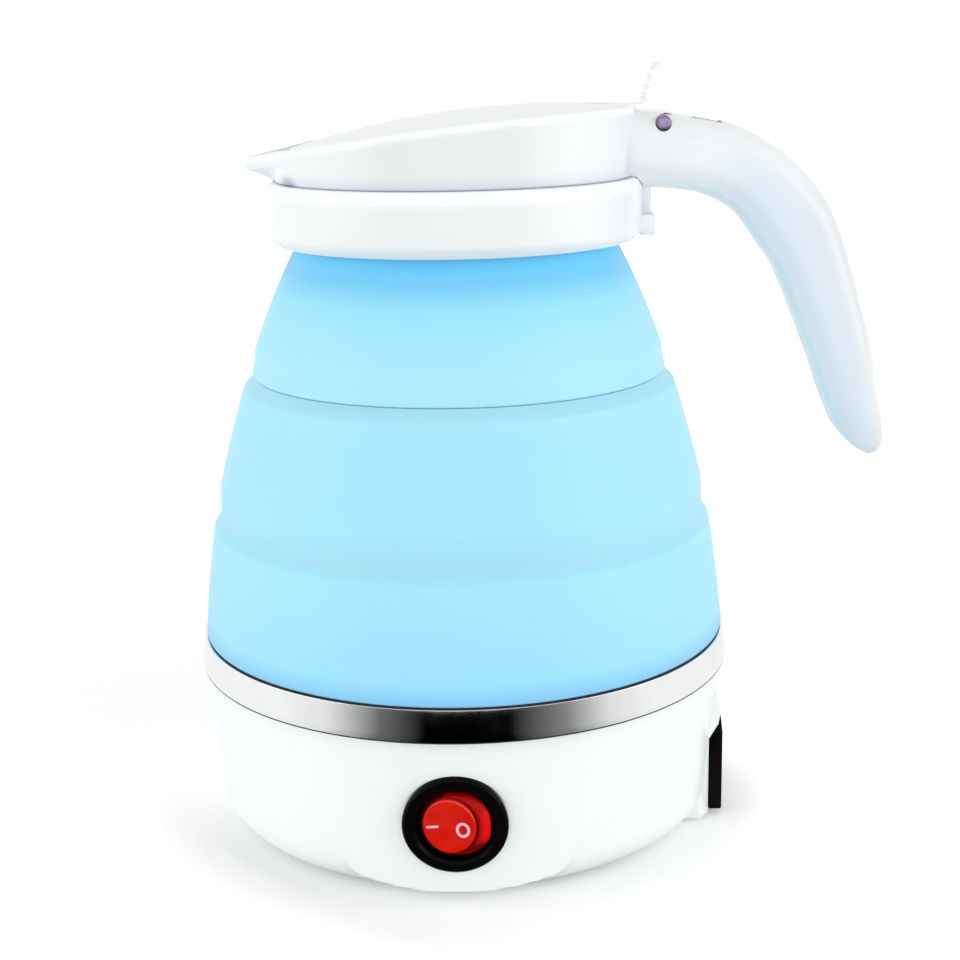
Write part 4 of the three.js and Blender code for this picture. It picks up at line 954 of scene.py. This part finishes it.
shell = shares(handle_body(), cool=bounce, dusk=tongue_dusk, dim=outer_dim)
dress(shell, white, "top", ["handle_shell"])
cover_strip = cut(whole_bar("handle_strip"), strip(STRIP_SHARES, lambda half: STRIP_DEPTH - half, STRIP_SIDE),
                  mode="INTERSECT", sharp=40)
shares(cover_strip, cool=bounce, dusk=tongue_dusk, dim=outer_dim)
dress(cover_strip, white, "top", ["handle_cover"])
pin = rod(PIN_R, -PIN_HALF, PIN_HALF, "Y", PIN_SPOT, edge=0.8)
dress(pin, dark_pin, "top", ["hinge_pin"], "lid_pin")

# Lid with its lever and thumb tab

# The lid's last constant is a share of painted shade laid evenly over it.
LID_R, LID_TOP, LID_LOW, LID_CROWN, LID_DUSK = 37.7, 167.4, 165.2, 2, 0.03
CROWN_SHARES = [(0, 1), (0.4, 0.84), (0.72, 0.48), (0.93, 0.12)]
TAB_BACK_REACH, TAB_FRONT_REACH, TAB_HEIGHT, TAB_HALF, TAB_EDGE = 9.2, 5, 13.2, 5.3, 0.9
TAB_BACK_SHARES = [(0.03, 1), (0.24, 0.94), (0.45, 0.82), (0.7, 0.61), (0.92, 0.38), (1, 0.27)]
TAB_FRONT_SHARES = [(1, 0.33), (0.88, 0.52), (0.5, 0.92), (0.24, 0.99)]
KNUCKLE_R, KNUCKLE_HOLE_R = 4.2, 2.3
LEVER_X, LEVER_Z = 34, 165.5
RIB_COUNT, RIB_R, RIB_START, RIB_STEP = 6, 0.55, 0.24, 0.12


def lid_deep(x, y, z):
    """A painted shadow along the rim on the lid's far side."""
    return 0.5 * step((hypot(x, y) - 34) / 2.2) * step((y - 2) / 12)


def lid_plate():
    profile = spline([(LID_R * out, LID_TOP + LID_CROWN * rise) for out, rise in CROWN_SHARES], 8)
    profile += [(LID_R - 0.3, LID_TOP - 0.02), (LID_R - 0.08, LID_TOP - 0.12), (LID_R, LID_TOP - 0.4)]
    profile += [(LID_R - 0.9, LID_LOW + 0.2), (LID_R - 1.1, LID_LOW)]
    profile += [(LID_R * share, LID_LOW) for share in (0.66, 0.33, 0)]
    return turned("lid_plate", profile, 192, bend=sunk)


tab_back = [(HINGE_X + TAB_BACK_REACH * a, HINGE_Z + TAB_HEIGHT * b) for a, b in TAB_BACK_SHARES][::-1]
tab_front = [(HINGE_X - TAB_FRONT_REACH * a, HINGE_Z + TAB_HEIGHT * b) for a, b in TAB_FRONT_SHARES][::-1]


def lid_lever():
    """The lever from the lid to the hinge, with a round knuckle and the thumb tab above it."""
    angles = [radians(d) for d in range(-40, 91, 10)]
    knuckle = [(HINGE_X + KNUCKLE_R * sin(a), HINGE_Z - KNUCKLE_R * cos(a)) for a in angles]
    outline = [(LEVER_X, LEVER_Z), (HINGE_X - KNUCKLE_R, HINGE_Z - 1.5)] + knuckle
    outline += spline(tab_back + tab_front, 4) + [(LEVER_X, LID_TOP + 0.2)]
    lever = drawn("lid_tab", outline, -TAB_HALF, TAB_HALF, TAB_EDGE, sharp=40)
    return cut(lever, rod(KNUCKLE_HOLE_R, -12, 12, "Y", (HINGE_X, HINGE_Z)))


def tab_ribs():
    ribs = []
    for k in range(RIB_COUNT):
        at = even([Vector(p) for p in spline(tab_front, 8)], RIB_START + RIB_STEP * k)
        ribs.append(rod(RIB_R, -TAB_HALF - 0.05, TAB_HALF + 0.05, "Y", (at.x + 0.25, at.y), 24, 0.3))
    return joined("tab_ribs", *ribs)


lid = shares(lid_plate(), dusk=lambda x, y, z: LID_DUSK, deep=lid_deep)
dress(lid, top_white, "lid", ["lid"], "lid_cover")
dress(lid_lever(), tab_white, "lid")
dress(tab_ribs(), white, "lid")

# Rocker switch, its rocker in its own tilted axes

BEZEL_LINE = [(0, -14), (BARREL_R, -14, 0.4), (BARREL_R, 0), (BEZEL_R, 0, 0.2), (BEZEL_R, 1.4, 0.5),
              (10.9, 2, 0.5), (9.3, 2, 0.4), (8.6, 1.3, 0.3), (8.6, -5.5), (0, -5.5)]
BEZEL_Y, ROCKER_Y, ROCKER_TILT = -60.2, -59.6, radians(-11)
TILT = Matrix.Translation((0, ROCKER_Y * MM, SWITCH_Z * MM)) @ Matrix.Rotation(ROCKER_TILT, 4, "Z")
BODY_RINGS = [
    (3.2, 0, 0, 4.4, 5.8, 3), (1.4, 0, 0, 7, 6.6, 2.6), (-0.6, 0.1, 0, 7.9, 7.1, 2.4),
    (-1.2, 0.1, 0, 7.75, 7, 2.3), (-1.8, -0.1, 0, 7.1, 6.9, 2.2), (-2.2, -0.4, 0.1, 6.5, 6.6, 2.1),
    (-2.3, -0.6, 0.15, 6.2, 6.4, 2)]
FACE_Y, FACE_X, FACE_Z, FACE_HALF, FACE_RISE = -3.3, -0.7, 0.2, 5.87, 6.2
FACE_EDGE = [(-1.6, 0, 0), (-2.9, 0, 0), (-3.1, 0.07, 0.07), (-3.25, 0.25, 0.25), (FACE_Y, 0.52, 0.5)]
MARK_FRONT, MARK_BACK = FACE_Y - 0.08, FACE_Y + 0.1
ON_MARK = [(-5.65, -0.5, 0.2), (-2.95, -0.14, 0.2), (-2.95, 0.4, 0.2), (-5.65, 0.04, 0.2)]
OFF_X, OFF_Z, OFF_HALF, OFF_RISE, OFF_WIDTH = 2.43, -0.23, 1.55, 1.72, 0.6


def switch_bezel():
    made = turned("switch_bezel", rounded(BEZEL_LINE, closed=False), 128)
    facing = Matrix(((1, 0, 0), (0, 0, -1), (0, FLAT, 0))).to_4x4()
    made.data.transform(Matrix.Translation((0, BEZEL_Y * MM, SWITCH_Z * MM)) @ facing)
    return smooth(made)


def button(name, sections):
    """Rings across the rocker's depth: (depth, centre x, centre z, half width, half height, roundness)."""
    rings = []
    for depth, x, z, half, rise, roundness in sections:
        rings.append([(x + a, depth, z + b) for a, b in super_ellipse(half, rise, roundness, 96)])
    made = lofted(name, rings, 40)
    made.data.transform(TILT)
    return made


def rocker_shade(x, y, z):
    """Painted shade: dark at the left, above, below and in the groove round the face."""
    at = TILT.inverted() @ (Vector((x, y, z)) * MM) / MM
    left, below, above = step((-0.3 - at.x) / 2.6), step((-2.4 - at.z) / 2), step((at.z - 3.0) / 0.9)
    groove = step((-2.1 - at.y) / 0.2)
    return max(left, 0.85 * below, 0.42 * above, 0.85 * groove)


def mark(name, outer, inner=None):
    """A thin printed shape on the rocker's face, with a hole where an inner outline is given."""
    if inner is None:
        made = drawn(name, outer, MARK_FRONT, MARK_BACK)
    else:
        rows = [(outer, MARK_BACK), (outer, MARK_FRONT), (inner, MARK_FRONT), (inner, MARK_BACK)]
        made = piece(name, *grid([[along_axis("Y", point, y) for point in line] for line, y in rows]))
    made.data.transform(TILT)
    dress(made, mark_white, "rocker")


dress(switch_bezel(), black, "base", ["switch_body"])
rocker = shares(button("rocker_body", BODY_RINGS), shade=rocker_shade)
dress(rocker, red_deep, "rocker", ["rocker"])
face_rings = [(depth, FACE_X, FACE_Z, FACE_HALF - a, FACE_RISE - b, 2) for depth, a, b in FACE_EDGE]
dress(button("rocker_face", face_rings), red, "rocker")
mark("switch_mark_on", rounded(ON_MARK, 4))
mark("switch_mark_off", *([(OFF_X + (OFF_HALF - inset) * c, OFF_Z + (OFF_RISE - inset) * s)
                           for c, s in around(48)] for inset in (0, OFF_WIDTH)))

# Mains inlet

FLANGE_CORNER, INLET_CORNER = 4.2, 4
PLUG_END, CAVITY_FLOOR, INLET_CAVITY = 41.4, 45.4, (24, 16.4)
CONTACT_PLACES, CONTACT_HALF, CONTACT_RISE = ((-7, 10.8), (7, 10.8), (0, 14.8)), 1.3, 2.3


def inlet_block(width, height, corner, low, high, bevel=0):
    """A block with its two upper corners cut off."""
    half, rise = width / 2, height / 2
    side = [(half, -rise), (half, rise - corner * 0.6), (half - corner, rise)]
    line = [(-half, -rise)] + side + [(-y, z) for y, z in side[:0:-1]]
    return drawn("inlet", [(y, z + INLET_Z) for y, z in line], low, high, bevel, axis="X")


def mains_inlet():
    flange = inlet_block(FLANGE_WIDTH, FLANGE_HEIGHT, FLANGE_CORNER, INLET_BACK, INLET_FACE, 0.5)
    plug = inlet_block(PLUG_WIDTH, PLUG_HEIGHT, INLET_CORNER, PLUG_END, INLET_BACK + 0.3)
    cavity = inlet_block(*INLET_CAVITY, INLET_CORNER, CAVITY_FLOOR, BEYOND)
    slots = [box((35, 50), both(CONTACT_HALF, y), both(CONTACT_RISE, z)) for y, z in CONTACT_PLACES]
    return cut(cut(flange, plug, mode="UNION"), cavity, *slots)


dress(mains_inlet(), matte_black, "base", ["inlet_body"], "mains_inlet")

# Finishes of the CAD nodes that stay

FINISHES = [  # the first start that fits a name gives its finish
    (("inlet_pin", "switch_blade", "heating_tube_pin"), brass),
    (("heating_", "pan_", "thermal_fuse", "handle_screw", "cover_screw"), steel),
    (("heat_spreader",), aluminium),
    (("thermostat",), matte_black),
    (("wire_",), wire_cover),
]

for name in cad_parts:
    made = bpy.data.objects.get(name)
    look = next((look for starts, look in FINISHES if name.startswith(starts)), None)
    if made is not None and look is not None:
        paint(made, look)

# Floor, reflected card, world and lamps, in metres but for the meshes

FLOOR_HALF = 4000
FLAG_RINGS = ((18, 0.6), (110, 0.6), (170, 0.6), (240, 0.6), (240, 25), (240, 50))
FLAG_GREYS = [(-180, 0.96), (-88, 1.0), (-72, 1.0), (-48, 0.84), (-28, 0.15), (-12, 0.0), (18, 0.0),
              (38, 0.23), (56, 0.82), (76, 1.0), (90, 0.98), (180, 0.96)]


def background_rays(tree):
    """1 for the camera's rays, reflections and rays through glass, and 0 for the rest."""
    path = node(tree, "LightPath")
    seen = maths(tree, "MAXIMUM", path["Is Camera Ray"], path["Is Glossy Ray"])
    return maths(tree, "MAXIMUM", seen, path["Is Transmission Ray"])


def sheltered(tree, place, reach):
    """Painted shadow on the floor: it glows less beside the base's front, and, as painted light, more beyond
    it at the right.
    """
    parts = node(tree, "SeparateXYZ", {"Vector": place})
    x, y = parts["X"], parts["Y"]
    aside = maths(tree, "MULTIPLY", maths(tree, "ABSOLUTE", x), 0.7)
    towards = maths(tree, "SUBTRACT", aside, maths(tree, "MULTIPLY", y, 0.71))
    near, strong = ramp(tree, reach, 1, 0, 0.06, 0.08), ramp(tree, x, 1, 0.5, -0.012, 0.012)
    less = product(tree, near, strong, ramp(tree, towards, 0, 1, 0.045, 0.062))
    right, behind = ramp(tree, x, 0, 0.7, 0.058, 0.075), ramp(tree, y, 0, 1, -0.045, -0.02)
    more = product(tree, right, behind, ramp(tree, reach, 1, 0, 0.09, 0.17))
    return maths(tree, "ADD", maths(tree, "SUBTRACT", 1, less), more)


def studio_white(name, colour, glow_near, glow_far):
    """A pale surface that also glows for the rays that show the background, less where a shadow is painted
    near the base.
    """
    made, tree, shader = material(name)
    tree.nodes.remove(shader)
    place = node(tree, "TexCoord")["Object"]
    reach = node(tree, "VectorMath", {0: place}, operation="LENGTH")["Value"]
    glow = ramp(tree, reach, glow_near, glow_far, 0.2, 1.6)
    strength = product(tree, background_rays(tree), glow, sheltered(tree, place, reach))
    diffuse = node(tree, "BsdfDiffuse", {"Color": (*colour, 1)})["BSDF"]
    lit = node(tree, "Emission", {"Strength": strength})["Emission"]
    surface = node(tree, "AddShader", {0: diffuse, 1: lit})["Shader"]
    fed(tree.nodes["Material Output"], {"Surface": surface})
    return made


def studio_floor():
    corners = [(x * FLOOR_HALF, y * FLOOR_HALF, 0) for x, y in ((-1, -1), (1, -1), (1, 1), (-1, 1))]
    floor = piece("floor", corners, [(0, 1, 2, 3)])
    paint(floor, studio_white("floor", (0.93, 0.93, 0.935), 0.24, 0.62))


def dark_flag():
    """A card lying round the object, dark in front, that only reflections see."""
    made = piece("dark_flag", *grid([circle(radius, z, 120) for radius, z in FLAG_RINGS], closed=False))
    look, tree, shader = material("flag")
    tree.nodes.remove(shader)
    parts = node(tree, "SeparateXYZ", {"Vector": node(tree, "TexCoord")["Object"]})
    turn = maths(tree, "ARCTAN2", parts["X"], maths(tree, "MULTIPLY", parts["Y"], -1))
    stops = [((degrees + 180) / 360, (grey, grey, grey)) for degrees, grey in FLAG_GREYS]
    shade = coloured(tree, ramp(tree, turn, 0, 1, -pi, pi), stops)
    fed(tree.nodes["Material Output"], {"Surface": node(tree, "Emission", {"Color": shade})["Emission"]})
    paint(made, look)
    made.visible_camera = made.visible_diffuse = made.visible_transmission = made.visible_shadow = False


def studio_world():
    """White where it is seen; as light on the object it is weaker from above."""
    world = bpy.data.worlds.new("studio")
    bpy.context.scene.world = world
    world.use_nodes = True
    tree = world.node_tree
    height = node(tree, "SeparateXYZ", {"Vector": node(tree, "TexCoord")["Generated"]})["Z"]
    light = ramp(tree, height, 1.08, 0.58, 0.1, 0.9)
    strength = node(tree, "Mix", {"Factor": background_rays(tree), "A": light, "B": 1})["Result"]
    fed(tree.nodes["Background"], {"Color": (1, 1, 1, 1), "Strength": strength})


def lamp(name, place, target, size, power):
    data = bpy.data.lights.new(name, "AREA")
    data.shape, data.size, data.size_y, data.energy = "RECTANGLE", *size, power
    made = placed(name, data)
    made.location = place
    made.rotation_mode = "QUATERNION"
    made.rotation_quaternion = (Vector(target) - Vector(place)).to_track_quat("-Z", "Y")


studio_floor()
dark_flag()
studio_world()
lamp("left_softbox", (-0.85, -0.35, 0.28), (0, 0, 0.09), (0.7, 0.5), 1.7)
lamp("right_softbox", (0.85, -0.35, 0.28), (0, 0, 0.09), (0.7, 0.5), 2.0)
lamp("front_softbox", (0.02, -1.1, 0.3), (0, 0, 0.08), (0.9, 0.5), 1.2)
lamp("top_softbox", (0, -0.1, 1.0), (0, 0, 0.08), (0.9, 0.9), 0.3)
bpy.context.scene.view_settings.view_transform = "Standard"
